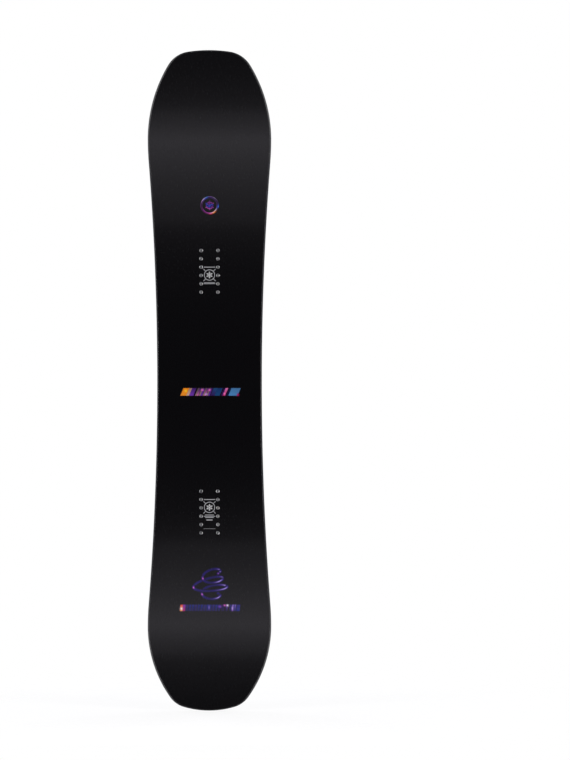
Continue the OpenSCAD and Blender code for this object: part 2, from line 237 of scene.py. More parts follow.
def rim_arcs():
    """The toe side's arcs, from the tail's end to the nose's end."""
    turn = 2 * math.atan((HALF_WIDTH - HALF_WAIST) / CONTACT_Y)
    cut_r = CONTACT_Y / math.sin(turn) - BLEND_R
    blend = [HALF_WIDTH - BLEND_R, CONTACT_Y, BLEND_R, -turn, 0, 1]
    sidecut = [HALF_WAIST + cut_r, 0, cut_r, math.pi + turn, math.pi - turn, -1]
    nose = tip_arcs(NOSE_END - CONTACT_Y, NOSE_RADII)
    tail = [flipped(arc) for arc in tip_arcs(-TAIL_END - CONTACT_Y, TAIL_RADII)]
    return tail[::-1] + [flipped(blend), sidecut, blend] + nose


ARCS = rim_arcs()
ARC_ENDS = np.concatenate([[0], np.cumsum([abs(a[4] - a[3]) * a[2] for a in ARCS])])
RIM_LENGTH = ARC_ENDS[-1]


def rim(s):
    """Points of the toe side's rim at distances s along it, and the directions out of the deck."""
    s = np.clip(np.atleast_1d(np.asarray(s, float)), 0, RIM_LENGTH)
    which = np.clip(np.searchsorted(ARC_ENDS, s, side="right") - 1, 0, len(ARCS) - 1)
    x, y, r, start, stop, side = np.array(ARCS)[which].T
    share = (s - ARC_ENDS[which]) / (ARC_ENDS[which + 1] - ARC_ENDS[which])
    angle = start + (stop - start) * share
    ray = np.stack([np.cos(angle), np.sin(angle)], axis=1)
    return np.stack([x, y], axis=1) + r[:, None] * ray, side[:, None] * ray


def rim_at(y, inset=0):
    """The distance along the rim at which the rim, moved in by inset, passes y."""
    s = np.linspace(0, RIM_LENGTH, 20001)
    p, out = rim(s)
    return float(np.interp(y, (p - inset * out)[:, 1], s))


def stations(start, stop):
    return np.linspace(start, stop, int(math.ceil((stop - start) / RIM_STEP)) + 1)


def rim_loop():
    """The whole rim, counter-clockwise from the tail's end, with its directions outward."""
    p, out = rim(stations(0, RIM_LENGTH))
    mirror = np.array([-1, 1])
    points = np.concatenate([p, (p * mirror)[-2:0:-1]])
    return points, np.concatenate([out, (out * mirror)[-2:0:-1]])


# ------------------------------------------------------------------ pieces


def piece(name, points, faces, material, stands_for=(), normals=None):
    """A mesh piece from points in the deck's frame, riding on the deck."""
    mesh = bpy.data.meshes.new(name)
    mesh.from_pydata(to_row(points).tolist(), [], faces)
    mesh.shade_smooth()
    if normals is None:
        mesh.set_sharp_from_angle(angle=SHARP_ANGLE)
    else:
        mesh.normals_split_custom_set_from_vertices(turned(normals).tolist())
    mesh.materials.append(material)
    obj = bpy.data.objects.new(name, mesh)
    bpy.context.scene.collection.objects.link(obj)
    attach(obj, "root")
    if stands_for:
        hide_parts(*stands_for)
    return obj


def tube_faces(rings, count, capped=True):
    """Faces between rings of `count` points, with a face over each end if capped."""
    faces = []
    for i in range(rings - 1):
        for j in range(count):
            a, b = i * count + j, i * count + (j + 1) % count
            faces.append((a, b, b + count, a + count))
    if capped:
        faces.append(tuple(range(count))[::-1])
        faces.append(tuple((rings - 1) * count + j for j in range(count)))
    return faces


def rim_points(s, side, section):
    """A section swept over rim stations: (station, corner, 3). side -1 is the heel side.

    A section's corners are (inset from the rim, level, 1 if levels count from the core's top).
    """
    p, out = rim(s)
    swept = []
    for inset, height, upper in section:
        inset = np.broadcast_to(inset, len(p))[:, None]
        q = p - inset * out
        z = level(height, q[:, 1], upper)
        swept.append(np.stack([side * q[:, 0], q[:, 1], z], axis=1))
    return np.stack(swept, axis=1)


def tube(name, grid, flip, material):
    """A closed bar from a grid of (station, corner, 3), standing for the CAD node `name`."""
    faces = tube_faces(*grid.shape[:2])
    if flip:
        faces = [f[::-1] for f in faces]
    piece(name + "_skin", grid.reshape(-1, 3), faces, material, [name])


# ------------------------------------------------------------------ sheets

GRID_X = 24
GRID_Y = 8
SUPPORT = 0.5           # from a sheet's rounded side to the loop that its flat faces start at
HOLE_SIDES = 40
HOLE_R = 4.1
HOLE_CHAMFER = 0.18
HOLE_CLEAR = 3          # how far the grid's points keep from a hole


def insert_places():
    return [
        (side * COLUMN_X, middle + (row - (ROWS - 1) / 2) * ROW_PITCH)
        for middle in PACKS.values()
        for row in range(ROWS)
        for side in (-1, 1)
    ]


def inner_points(loop, holes):
    """Grid points inside a loop and clear of the holes."""
    toe = loop[: len(loop) // 2 + 1]
    made = []
    for y in np.arange(TAIL_END, NOSE_END, GRID_Y):
        if not toe[0, 1] + GRID_Y < y < toe[-1, 1] - GRID_Y:
            continue
        half = np.interp(y, toe[:, 1], toe[:, 0]) - GRID_Y
        count = max(1, int(half // GRID_X))
        for x in np.linspace(-half, half, 2 * count + 1):
            if all(math.hypot(x - hx, y - hy) > HOLE_R + HOLE_CLEAR for hx, hy in holes):
                made.append((x, y))
    return np.array(made)


def triangles(loop, inner, rings):
    """Points and triangles over a loop, less those that lie inside one of the rings."""
    points = np.concatenate([loop, *rings, inner])
    edges = [(i, (i + 1) % len(loop)) for i in range(len(loop))]
    start = len(loop)
    hole_of = np.full(len(points), -1)
    for number, ring in enumerate(rings):
        edges += [(start + i, start + (i + 1) % len(ring)) for i in range(len(ring))]
        hole_of[start:start + len(ring)] = number
        start += len(ring)
    made = delaunay_2d_cdt([Vector(p) for p in points.tolist()], edges, [], 1, 1e-5)
    source = [o[0] for o in made[3]]
    faces = []
    for face in made[2]:
        face = [source[i] for i in face]
        across = hole_of[face]
        if across[0] < 0 or (across != across[0]).any():
            faces.append(face)
    return points, faces


def rounded_side(inset, foot, head, radius):
    """(inset, height, out, up) down the side of a sheet, from its face to its underside."""
    quarter = [k * math.pi / 6 for k in range(4)]
    down = [(inset + radius * (1 - math.sin(a)), head - radius * (1 - math.cos(a)),
             math.sin(a), math.cos(a)) for a in quarter]
    under = [(i, foot + head - z, out, -up) for i, z, out, up in down[::-1]]
    return down + under


def sheet(name, inset, foot, head, upper, radius, material, holes=()):
    """A closed sheet over the whole deck with a rounded side and countersunk holes."""
    rim_p, rim_out = rim_loop()
    face_loop = rim_p - (inset + radius + SUPPORT) * rim_out
    turn = np.linspace(0, 2 * math.pi, HOLE_SIDES, endpoint=False)
    circle = np.stack([np.cos(turn), np.sin(turn)], axis=1)
    mouth = HOLE_R + HOLE_CHAMFER
    rings = [np.array(place) + mouth * circle for place in holes]
    flat, tris = triangles(face_loop, inner_points(face_loop, holes), rings)

    def face_points(height):
        return np.column_stack([flat, level(height, flat[:, 1], upper)])

    def up_normals(y, sign):
        return sign * np.column_stack([np.zeros(len(y)), -tilt(y, upper), np.ones(len(y))])

    points = [face_points(head), face_points(foot)]
    normals = [up_normals(flat[:, 1], 1), up_normals(flat[:, 1], -1)]
    count = len(flat)
    faces = [tuple(t) for t in tris] + [tuple(i + count for i in t[::-1]) for t in tris]
    start = 2 * count

    def band(rows_p, rows_n, first, last, size, flip):
        """Joins a face's loop, rows of points, and the underside's loop."""
        nonlocal start
        indices = [np.arange(size) + first]
        for p, n in zip(rows_p, rows_n):
            points.append(p)
            normals.append(n)
            indices.append(np.arange(size) + start)
            start += size
        indices.append(np.arange(size) + last)
        for a, b in zip(indices[:-1], indices[1:]):
            for j in range(size):
                k = (j + 1) % size
                quad = (int(a[j]), int(b[j]), int(b[k]), int(a[k]))
                faces.append(quad[::-1] if flip else quad)

    rows_p, rows_n = [], []
    for i, z, out, up in rounded_side(inset, foot, head, radius):
        q = rim_p - i * rim_out
        rows_p.append(np.column_stack([q, level(z, q[:, 1], upper)]))
        rows_n.append(out * np.column_stack([rim_out, np.zeros(len(q))]) + up_normals(q[:, 1], up))
    band(rows_p, rows_n, 0, count, len(rim_p), False)
    first = len(rim_p)
    inward = -np.column_stack([circle, np.zeros(HOLE_SIDES)])
    for place in holes:
        rows_p, rows_n = [], []
        for z in (head - HOLE_CHAMFER, foot + HOLE_CHAMFER):
            q = np.array(place) + HOLE_R * circle
            rows_p.append(np.column_stack([q, level(z, q[:, 1], upper)]))
            rows_n.append(inward)
        band(rows_p, rows_n, first, count + first, HOLE_SIDES, True)
        first += HOLE_SIDES
    piece(name + "_skin", np.concatenate(points), faces, material, [name],
          np.concatenate(normals))


# ------------------------------------------------------------------ materials

# Shades of the top sheet and the base, each fresh and where it's worn or waxed.
SATIN = ((0.0010, 0.0008, 0.0013), (0.0015, 0.0013, 0.0019))
POLISHED = ((0.0004, 0.0003, 0.0010), (0.0008, 0.0006, 0.0017))


def node(tree, kind, inputs=None, **settings):
    """A shader node with its settings and inputs; an input is a value or another's socket."""
    made = tree.nodes.new(kind)
    for key, value in settings.items():
        setattr(made, key, value)
    for key, value in (inputs or {}).items():
        if isinstance(value, bpy.types.NodeSocket):
            tree.links.new(value, made.inputs[key])
        else:
            made.inputs[key].default_value = value
    return made


def maths(tree, operation, a, b=0.0, c=0.0):
    return node(tree, "ShaderNodeMath", {0: a, 1: b, 2: c}, operation=operation).outputs[0]


class Look:
    """A material in the making, with its Principled shader and object coordinates in mm."""

    def __init__(self, name, metallic=0.0):
        self.material = bpy.data.materials.new(name)
        self.material.use_nodes = True
        self.tree = self.material.node_tree
        self.shader = self.tree.nodes["Principled BSDF"]
        self.shader.inputs["Metallic"].default_value = metallic
        self.place = self.scaled(node(self.tree, "ShaderNodeTexCoord").outputs["Object"], MM)

    def scaled(self, vector, scale):
        inputs = {0: vector, "Scale": scale}
        return node(self.tree, "ShaderNodeVectorMath", inputs, operation="SCALE").outputs[0]

    def maths(self, operation, *values):
        return maths(self.tree, operation, *values)

    def noise(self, per_mm, detail, rough=0.5):
        """Noise whose features are 1 / per_mm long; per_mm is one number or one for each axis."""
        rate = per_mm if isinstance(per_mm, tuple) else (per_mm,) * 3
        place = node(self.tree, "ShaderNodeVectorMath", {0: self.place, 1: rate},
                     operation="MULTIPLY").outputs[0]
        inputs = {"Vector": place, "Scale": 1.0, "Detail": detail, "Roughness": rough}
        return node(self.tree, "ShaderNodeTexNoise", inputs).outputs["Fac"]

    def wave(self, axis, length):
        """Bands across an axis, one band to each `length` millimetres."""
        inputs = {"Vector": self.scaled(self.place, math.pi / 10 / length), "Scale": 2.0}
        made = node(self.tree, "ShaderNodeTexWave", inputs, bands_direction=axis)
        return made.outputs["Fac"]

    def mixed(self, factor, a, b):
        """A colour between a and b, each a colour or a socket."""
        a, b = (c if isinstance(c, bpy.types.NodeSocket) else (*c, 1) for c in (a, b))
        inputs = {0: factor, 6: a, 7: b}
        return node(self.tree, "ShaderNodeMix", inputs, data_type="RGBA").outputs[2]

    def inked(self, colour):
        """The colour with the mesh's ink colours laid over it, by how much they cover."""
        ink = node(self.tree, "ShaderNodeAttribute", attribute_name="ink")
        return self.mixed(ink.outputs["Alpha"], colour, ink.outputs["Color"])

    def finish(self, colour, grain, roughness, height, strength, millimetres):
        """The material, with its roughness following grain's usual range and a bump."""
        low, high = roughness
        span = {"Value": grain, "From Min": 0.3, "From Max": 0.7, "To Min": low, "To Max": high}
        bump = {"Height": height, "Strength": strength, "Distance": millimetres / MM}
        for key, socket in (
                ("Base Color", colour),
                ("Roughness", node(self.tree, "ShaderNodeMapRange", span).outputs["Result"]),
                ("Normal", node(self.tree, "ShaderNodeBump", bump).outputs[0])):
            self.tree.links.new(socket, self.shader.inputs[key])
        return self.material


def satin(name, inked=False):
    """Satin black top sheet with a fine stipple and slight cloudiness."""
    look = Look(name)
    colour = look.mixed(look.noise(1 / 70, 4), *SATIN)
    scuffs = look.noise((1 / 0.9, 1 / 9, 1 / 9), 2)
    return look.finish(look.inked(colour) if inked else colour, scuffs, (0.25, 0.275),
                       look.noise(1 / 0.45, 1), 0.04, 0.02)


def polished(name, inked=False):
    """Sintered base, stone-ground along its length, with a wax shine."""
    look = Look(name)
    colour = look.mixed(look.noise((1 / 30, 1 / 30, 1 / 160), 4), *POLISHED)
    grind = look.noise((1 / 0.35, 1 / 0.35, 1 / 45), 3, 0.6)
    return look.finish(look.inked(colour) if inked else colour, grind, (0.15, 0.24),
                       grind, 0.1, 0.015)


def ground_steel():
    """Edge steel, ground along the rim, a little darker where it's less polished."""
    look = Look("ground_steel", 1.0)
    lines = look.noise((1 / 0.12, 1 / 0.12, 1 / 14), 3)
    colour = look.mixed(look.noise(1 / 18, 4), (0.3, 0.31, 0.33), (0.46, 0.47, 0.48))
    return look.finish(colour, lines, (0.22, 0.4), lines, 0.25, 0.02)


def milled_plastic(name, colour, grain):
    """Black plastic with the lines that a milling or grinding tool leaves along it."""
    look = Look(name)
    lines = look.noise((1 / 3, 1 / grain, 1 / 30), 3)
    shades = look.mixed(lines, colour, tuple(1.7 * c for c in colour))
    return look.finish(shades, look.noise(1 / 0.5, 2), (0.38, 0.52), lines, 0.3, 0.04)


def grained(name, dark, pale, per_mm, roughness, strength, millimetres, anisotropic=0.0):
    """A material whose shade, roughness and bump all follow one grain."""
    look = Look(name)
    look.shader.inputs["Anisotropic"].default_value = anisotropic
    grain = look.noise(per_mm, 4)
    colour = look.mixed(grain, dark, pale)
    return look.finish(colour, grain, roughness, grain, strength, millimetres)


def glass_laminate():
    """Stitched glass set in smoke-dyed resin: a weave under a smooth surface."""
    look = Look("glass_laminate")
    weave = look.maths("MULTIPLY", look.wave("X", 1.6), look.wave("Z", 2.2))
    wet = look.noise(1 / 25, 3)
    resin = look.mixed(wet, (0.018, 0.02, 0.017), (0.035, 0.037, 0.03))
    colour = look.mixed(weave, resin, (0.05, 0.053, 0.045))
    return look.finish(colour, wet, (0.24, 0.36), weave, 0.2, 0.03)


def wood(name, pale, dark, ring, pore):
    """Sanded wood with its grain along the deck."""
    look = Look(name)
    figure = look.noise((1 / ring, 1 / ring, 1 / (ring * 22)), 4, 0.55)
    fibres = look.noise((1 / pore, 1 / pore, 1 / 12), 3)
    blend = look.maths("MULTIPLY_ADD", fibres, 0.35, look.maths("MULTIPLY", figure, 0.75))
    return look.finish(look.mixed(blend, pale, dark), fibres, (0.45, 0.65), fibres, 0.25, 0.05)


def turned_steel():
    """Stainless steel with the fine rings of a lathe round each insert's own axis."""
    look = Look("turned_steel", 1.0)
    parts = node(look.tree, "ShaderNodeSeparateXYZ", {0: look.place})
    across = look.maths("SUBTRACT", look.maths("ABSOLUTE", parts.outputs[0]), COLUMN_X)
    # Whole rows are added, so that what is divided by the row pitch stays above 0.
    shift = 50 * ROW_PITCH - (PACKS["front"] - ROW_PITCH / 2)
    moved = look.maths("ADD", parts.outputs[2], shift + ROW_PITCH / 2)
    along = look.maths("SUBTRACT", look.maths("MODULO", moved, ROW_PITCH), ROW_PITCH / 2)
    squares = look.maths("MULTIPLY_ADD", across, across, look.maths("MULTIPLY", along, along))
    radius = look.maths("SQRT", squares)
    rings = look.maths("SINE", look.maths("MULTIPLY", radius, 2 * math.pi / LATHE_PITCH))
    haze = look.noise(1 / 1.5, 3)
    colour = look.mixed(haze, (0.56, 0.56, 0.57), (0.74, 0.74, 0.74))
    return look.finish(colour, haze, (0.25, 0.36), rings, 0.15, 0.01)


# ------------------------------------------------------------------ inks


class Ink:
    """A picture in ink, painted on a grid. u runs to the right as seen from its side, v up."""

    def __init__(self, u_range, v_range, step):
        nu = int(round((u_range[1] - u_range[0]) / step)) + 1
        nv = int(round((v_range[1] - v_range[0]) / step)) + 1
        us, vs = np.linspace(*u_range, nu), np.linspace(*v_range, nv)
        self.u, self.v = np.meshgrid(us, vs)
        self.step = step
        self.colour = np.zeros((nv, nu, 3))
        self.cover = np.zeros((nv, nu))

    def paint(self, mask, colour):
        """Lays colour over what is there, as far as mask goes."""
        mask = np.clip(mask, 0, 1)
        colour = np.broadcast_to(colour, self.colour.shape)
        under = self.cover * (1 - mask)
        total = mask + under
        mixed_colour = colour * mask[..., None] + self.colour * under[..., None]
        self.colour = np.where(total[..., None] > 1e-6,
                               mixed_colour / np.maximum(total, 1e-6)[..., None], colour)
        self.cover = total

    def light(self, mask, colour):
        """Brightens what is already printed."""
        lift = np.clip(mask, 0, 1)[..., None] * np.array(colour)
        self.colour = 1 - (1 - self.colour) * (1 - lift)

    def inside(self, distance, soft=None):
        """A mask that is 1 where distance is below 0, with an edge `soft` wide."""
        soft = soft or 1.2 * self.step
        return np.clip(0.5 - distance / soft, 0, 1)

    def line(self, a, b):
        """Distance from the segment a-b, and how far along it the nearest point is."""
        du, dv = b[0] - a[0], b[1] - a[1]
        t = ((self.u - a[0]) * du + (self.v - a[1]) * dv) / (du * du + dv * dv)
        t = np.clip(t, 0, 1)
        return np.hypot(self.u - a[0] - t * du, self.v - a[1] - t * dv), t

    def path(self, points):
        """Distance from a chain of points, and how far along the chain."""
        best = np.full(self.u.shape, 1e9)
        along = np.zeros(self.u.shape)
        for k, (a, b) in enumerate(zip(points[:-1], points[1:])):
            d, t = self.line(a, b)
            along = np.where(d < best, (k + t) / (len(points) - 1), along)
            best = np.minimum(best, d)
        return best, along

    def oval(self, centre, ru, rv):
        """Distance from an oval's rim, less than 0 inside."""
        far = np.hypot((self.u - centre[0]) / ru, (self.v - centre[1]) / rv)
        return (far - 1) * min(ru, rv)

    def polygon(self, points):
        """Distance from a convex outline given counter-clockwise, less than 0 inside."""
        best = np.full(self.u.shape, -1e9)
        for a, b in zip(points, points[1:] + points[:1]):
            du, dv = b[0] - a[0], b[1] - a[1]
            away = ((self.u - a[0]) * dv - (self.v - a[1]) * du) / math.hypot(du, dv)
            best = np.maximum(best, away)
        return best

    def swirl(self, seed, across, along, turn=0.0):
        """A field between 0 and 1 of bent waves, like light through thick glass."""
        c, s = math.cos(turn), math.sin(turn)
        a = (c * self.u + s * self.v) / across
        b = (c * self.v - s * self.u) / along
        bend = np.sin(1.7 * b + seed) + 0.6 * np.sin(2.3 * a - 0.9 * b + 2.1 * seed)
        fine = 0.35 * np.sin(5.1 * a + 2.7 * bend + seed)
        return 0.5 + 0.5 * np.sin(2.2 * a + 1.6 * bend + fine + 3.1 * seed)


def blend_colours(t, stops):
    """A colour at t from (place, colour) stops."""
    places = [s[0] for s in stops]
    return np.stack([np.interp(t, places, [s[1][k] for s in stops]) for k in range(3)], axis=-1)


def bezier(a, b, c, d, count=24):
    t = np.linspace(0, 1, count)[:, None]
    a, b, c, d = (np.array(p, float) for p in (a, b, c, d))
    p = (1 - t) ** 3 * a + 3 * t * (1 - t) ** 2 * b + 3 * t**2 * (1 - t) * c + t**3 * d
    return p.tolist()


def linear(colour):
    """Screen colours to the linear ones that shaders use."""
    colour = np.clip(colour, 0, 1)
    return np.where(colour < 0.04045, colour / 12.92, ((colour + 0.055) / 1.055) ** 2.4)


def film(name, ink, facing, material):
    """A thin closed film that carries a picture. facing 1 is the top sheet and -1 the base."""
    nv, nu = ink.u.shape
    x = facing * ink.u
    upper = 1 if facing == 1 else 0
    face = SHEET_HEAD - SINK + INK_T if upper else SINK - INK_T
    back = SHEET_HEAD - SINK - INK_T if upper else SINK + INK_T
    front_points = np.stack([x, ink.v, level(face, ink.v, upper)], axis=-1).reshape(-1, 3)
    ends = np.stack([x[:, [0, -1]], ink.v[:, [0, -1]],
                     level(back, ink.v[:, [0, -1]], upper)], axis=-1).reshape(-1, 3)
    at = np.arange(nu * nv).reshape(nv, nu)
    under = nu * nv + np.arange(2 * nv).reshape(nv, 2)
    quads = np.stack([at[:-1, :-1], at[:-1, 1:], at[1:, 1:], at[1:, :-1]], axis=-1)
    faces = [tuple(q) for q in quads.reshape(-1, 4).tolist()]
    for i in range(nv - 1):
        faces.append((under[i, 1], under[i, 0], under[i + 1, 0], under[i + 1, 1]))
        faces.append((at[i, 0], at[i + 1, 0], under[i + 1, 0], under[i, 0]))
        faces.append((at[i + 1, -1], at[i, -1], under[i, 1], under[i + 1, 1]))
    faces.append((*at[0, ::-1], under[0, 0], under[0, 1]))
    faces.append((*at[-1], under[-1, 1], under[-1, 0]))
    faces = [tuple(int(i) for i in f) for f in faces]
    slopes = np.concatenate([tilt(ink.v, upper).ravel(), tilt(ends[:, 1], upper)])
    up = np.column_stack([np.zeros(len(slopes)), -slopes, np.ones(len(slopes))]) * facing
    points = np.concatenate([front_points, ends])
    obj = piece(name, points, faces, material, (), up)
    shade = np.zeros((len(points), 4))
    shade[: nu * nv, :3] = linear(ink.colour.reshape(-1, 3))
    shade[: nu * nv, 3] = ink.cover.ravel()
    attribute = obj.data.attributes.new("ink", "FLOAT_COLOR", "POINT")
    attribute.data.foreach_set("color", shade.astype(np.float32).ravel())


# Ink colours, as seen on screen.
PINK = (0.93, 0.42, 0.80)
LAVENDER = (0.72, 0.62, 0.90)
VIOLET = (0.45, 0.22, 0.68)
LILAC = (0.50, 0.40, 0.78)
PLUM = (0.14, 0.03, 0.30)
INDIGO = (0.09, 0.05, 0.26)
NAVY = (0.06, 0.09, 0.25)
SLATE = (0.05, 0.09, 0.15)
DEEP = (0.03, 0.17, 0.36)
BLUE = (0.05, 0.35, 0.68)
CYAN = (0.06, 0.50, 0.74)
SMOKE = (0.20, 0.17, 0.22)
MAUVE = (0.34, 0.26, 0.32)
ORANGE = (0.95, 0.52, 0.08)
YELLOW = (1.0, 0.84, 0.18)
ROSE = (0.86, 0.45, 0.68)
CANDY = (1.0, 0.50, 0.78)
CRIMSON = (0.66, 0.08, 0.36)
WHITE = (0.97, 0.93, 0.98)
MARK_GREY = (0.72, 0.72, 0.73)


def pane(ink, points, a, b, turn=0.0, soft=2.5, cover=1.0):
    """A soft-edged pane of swirled glass whose colour runs from a to b in the direction `turn`."""
    aim = np.array([math.cos(turn), math.sin(turn)])
    ends = [np.dot(p, aim) for p in points]
    share = (ink.u * aim[0] + ink.v * aim[1] - min(ends)) / (max(ends) - min(ends))
    share = share + 0.22 * (ink.swirl(sum(ends), 34, 60, turn) - 0.5)
    colour = blend_colours(share, [(0, a), (1, b)])
    ink.paint(cover * ink.inside(ink.polygon(points), soft), colour)


def upright(left, right, low, high):
    return [(left, low), (right, low), (right, high), (left, high)]


def band(left, right, high, tall, fall):
    """The corners of a band across the column that falls to the right."""
    return [(left, high - tall), (right, high - fall - tall), (right, high - fall), (left, high)]


def thread(ink, points, width, colours, strength=1.0, glow=0.2):
    """A thin light along a line, tapered to its ends, with colours spread evenly along it."""
    d, along = ink.path(points)
    taper = np.clip(4 * along * (1 - along), 0, 1) ** 0.4
    core = np.exp(-((d / (width * (0.15 + 0.85 * taper))) ** 2))
    stops = [(k / max(1, len(colours) - 1), c) for k, c in enumerate(colours)]
    colour = blend_colours(along, stops)
    ink.light(glow * strength * taper * np.exp(-((d / (4 * width)) ** 2)), colour)
    ink.paint(strength * core, colour)


def spot(ink, centre, ru, rv, colour, strength=1.0):
    far = np.hypot((ink.u - centre[0]) / ru, (ink.v - centre[1]) / rv)
    ink.paint(strength * np.exp(-(far**2)), colour)


def lens(ink, centre, ru, rv, flip):
    """A dark blue lens with a lit outer side and one warm glint."""
    d = ink.oval(centre, ru, rv)
    du, dv = (ink.u - centre[0]) / ru * flip, (ink.v - centre[1]) / rv
    body = blend_colours(0.5 + 0.5 * du, [(0, (0.08, 0.07, 0.22)), (0.35, DEEP),
                                          (0.6, (0.03, 0.24, 0.44)), (1, DEEP)])
    ink.paint(0.95 * ink.inside(d, 3), body)
    rim = np.exp(-((d / 1.3) ** 2))
    ink.light(0.5 * rim * np.clip(-du + 0.5, 0, 1), LAVENDER)
    ink.light(np.exp(-(((d + 3) / 2.2) ** 2)) * np.clip(du, 0, 1) ** 3, CYAN)
    warm = np.exp(-((du - 0.55) ** 2 + (dv - 0.8 * flip) ** 2) / 0.05)
    ink.light(np.exp(-(((d + 1) / 1.6) ** 2)) * warm, ORANGE)


def column_top(ink):
    """Smoky slanted glass with gold running down it, over blue uprights and an indigo block."""
    pane(ink, [(-50, 182), (56, 124), (56, 192), (-50, 252)], (0.15, 0.13, 0.18),
         (0.29, 0.22, 0.28), 0.3, 8)
    pane(ink, [(-44, 222), (-12, 212), (-12, 250), (-44, 250)], SMOKE, (0.13, 0.20, 0.36), 1.57, 5)
    pane(ink, [(-14, 160), (20, 128), (20, 192), (-14, 216)], (0.34, 0.16, 0.10),
         (0.90, 0.48, 0.06), 0.7, 9, 0.9)
    thread(ink, [(-42, 238), (-8, 212)], 2.5, [ORANGE], 0.7)
    thread(ink, bezier((-6, 212), (12, 202), (19, 194), (20, 168)), 3.5, [YELLOW, YELLOW, ORANGE])
    thread(ink, [(-10, 256), (-10, 178)], 1.7, [(0.9, 0.9, 0.6), YELLOW, YELLOW])
    thread(ink, [(23, 172), (24, 128)], 2.8, [ORANGE, YELLOW, ORANGE])
    thread(ink, bezier((41, 150), (46, 132), (51, 124), (52, 100)), 2.6,
           [YELLOW, YELLOW, ORANGE, MAUVE])
    spot(ink, (-10, 139), 4, 4, LAVENDER, 0.7)

    pane(ink, upright(-50, -12, 12, 86), INDIGO, NAVY, 2.4, 5)
    pane(ink, upright(-12, 56, -28, 84), PLUM, INDIGO, 0.4, 4)
    pane(ink, upright(-19, 24, 76, 131), (0.02, 0.20, 0.38), (0.24, 0.28, 0.50), 0)
    pane(ink, upright(27, 47, 66, 134), DEEP, (0.02, 0.10, 0.30), 0, 5)
    thread(ink, [(47, 132), (46, 70)], 1.6, [CYAN], 0.9)
    thread(ink, bezier((27, 134), (25, 100), (24, 74), (38, 64)), 1.2, [LILAC], 0.8)
    for u, share in ((-2, 0.5), (13, 0.7), (21, 0.6)):
        thread(ink, [(u, 130), (u, 40)], 1.3, [LILAC, VIOLET], share)
    thread(ink, [(-46, 93), (8, 93)], 1.6, [LAVENDER, WHITE, CANDY, VIOLET])
    thread(ink, [(-13, 100), (-13, 58)], 2.8, [MAUVE, YELLOW], 0.9)
    thread(ink, bezier((-4, 84), (4, 76), (12, 78), (18, 90)), 2.4, [VIOLET, LAVENDER, VIOLET])
    spot(ink, (39, 53), 5, 5, LAVENDER, 0.9)
    thread(ink, [(-11, 58), (-11, -20)], 1.4, [NAVY, (0.2, 0.24, 0.6), NAVY], 0.8)


def column_bands(ink):
    """Bands of lilac glass that fall across the column, with dark glass and gold between."""
    left, right, fall = -52, 58, 84
    pane(ink, band(left, right, 8, 206, fall), INDIGO, PLUM, 0, 3)
    for high, tall, a, b in (
            (-2, 30, SLATE, (0.06, 0.12, 0.18)), (-92, 28, (0.05, 0.13, 0.18), SLATE)):
        pane(ink, band(left, right, high, tall, fall), a, b, 0, 3)
    for high, tall in ((-34, 44), (-124, 40)):
        pane(ink, band(left, right, high, tall, fall), LILAC, (0.62, 0.42, 0.76), 0, 4, 0.75)
        thread(ink, [(left, high - 9), (right, high - fall - 9)], 7,
               [ROSE, LILAC, ROSE, LILAC], 0.7)
        thread(ink, [(left, high - tall), (right, high - fall - tall)], 6, [PLUM], 0.8, 0)
        thread(ink, [(left, high), (right, high - fall)], 1.0, [LAVENDER], 0.5)
    for high in (14, -84):
        thread(ink, [(left, high), (right, high - fall)], 1.5, [VIOLET, LAVENDER, VIOLET], 0.7)
    for a, b in (((-50, -14), (14, -68)), ((-8, -80), (56, -134)), ((-50, -106), (10, -160))):
        thread(ink, [a, b], 1.6, [YELLOW, YELLOW, (1.0, 0.8, 0.4), LAVENDER])
    pane(ink, [(12, -34), (50, -30), (50, 14), (12, 14)], (0.04, 0.06, 0.11), SLATE, 0.4, 6)
    thread(ink, [(16, -34), (52, -32)], 1.2, [LILAC, LAVENDER, LILAC], 0.7)
    thread(ink, bezier((-12, 24), (-10, 12), (0, 8), (12, 6)), 1.4, [ROSE, WHITE, ROSE], 0.7)
    thread(ink, [(28, 8), (50, -30)], 2.8, [YELLOW, ORANGE])
    pane(ink, upright(-54, -10, -202, -146), INDIGO, (0.14, 0.05, 0.32), 0, 4)
    thread(ink, [(-47, -112), (-47, -176)], 3.5, [ROSE, LILAC, BLUE], 0.6)
    pane(ink, upright(-10, 58, -204, -166), (0.44, 0.37, 0.76), VIOLET, 0, 6, 0.9)
    spot(ink, (18, -192), 13, 9, ROSE, 0.9)


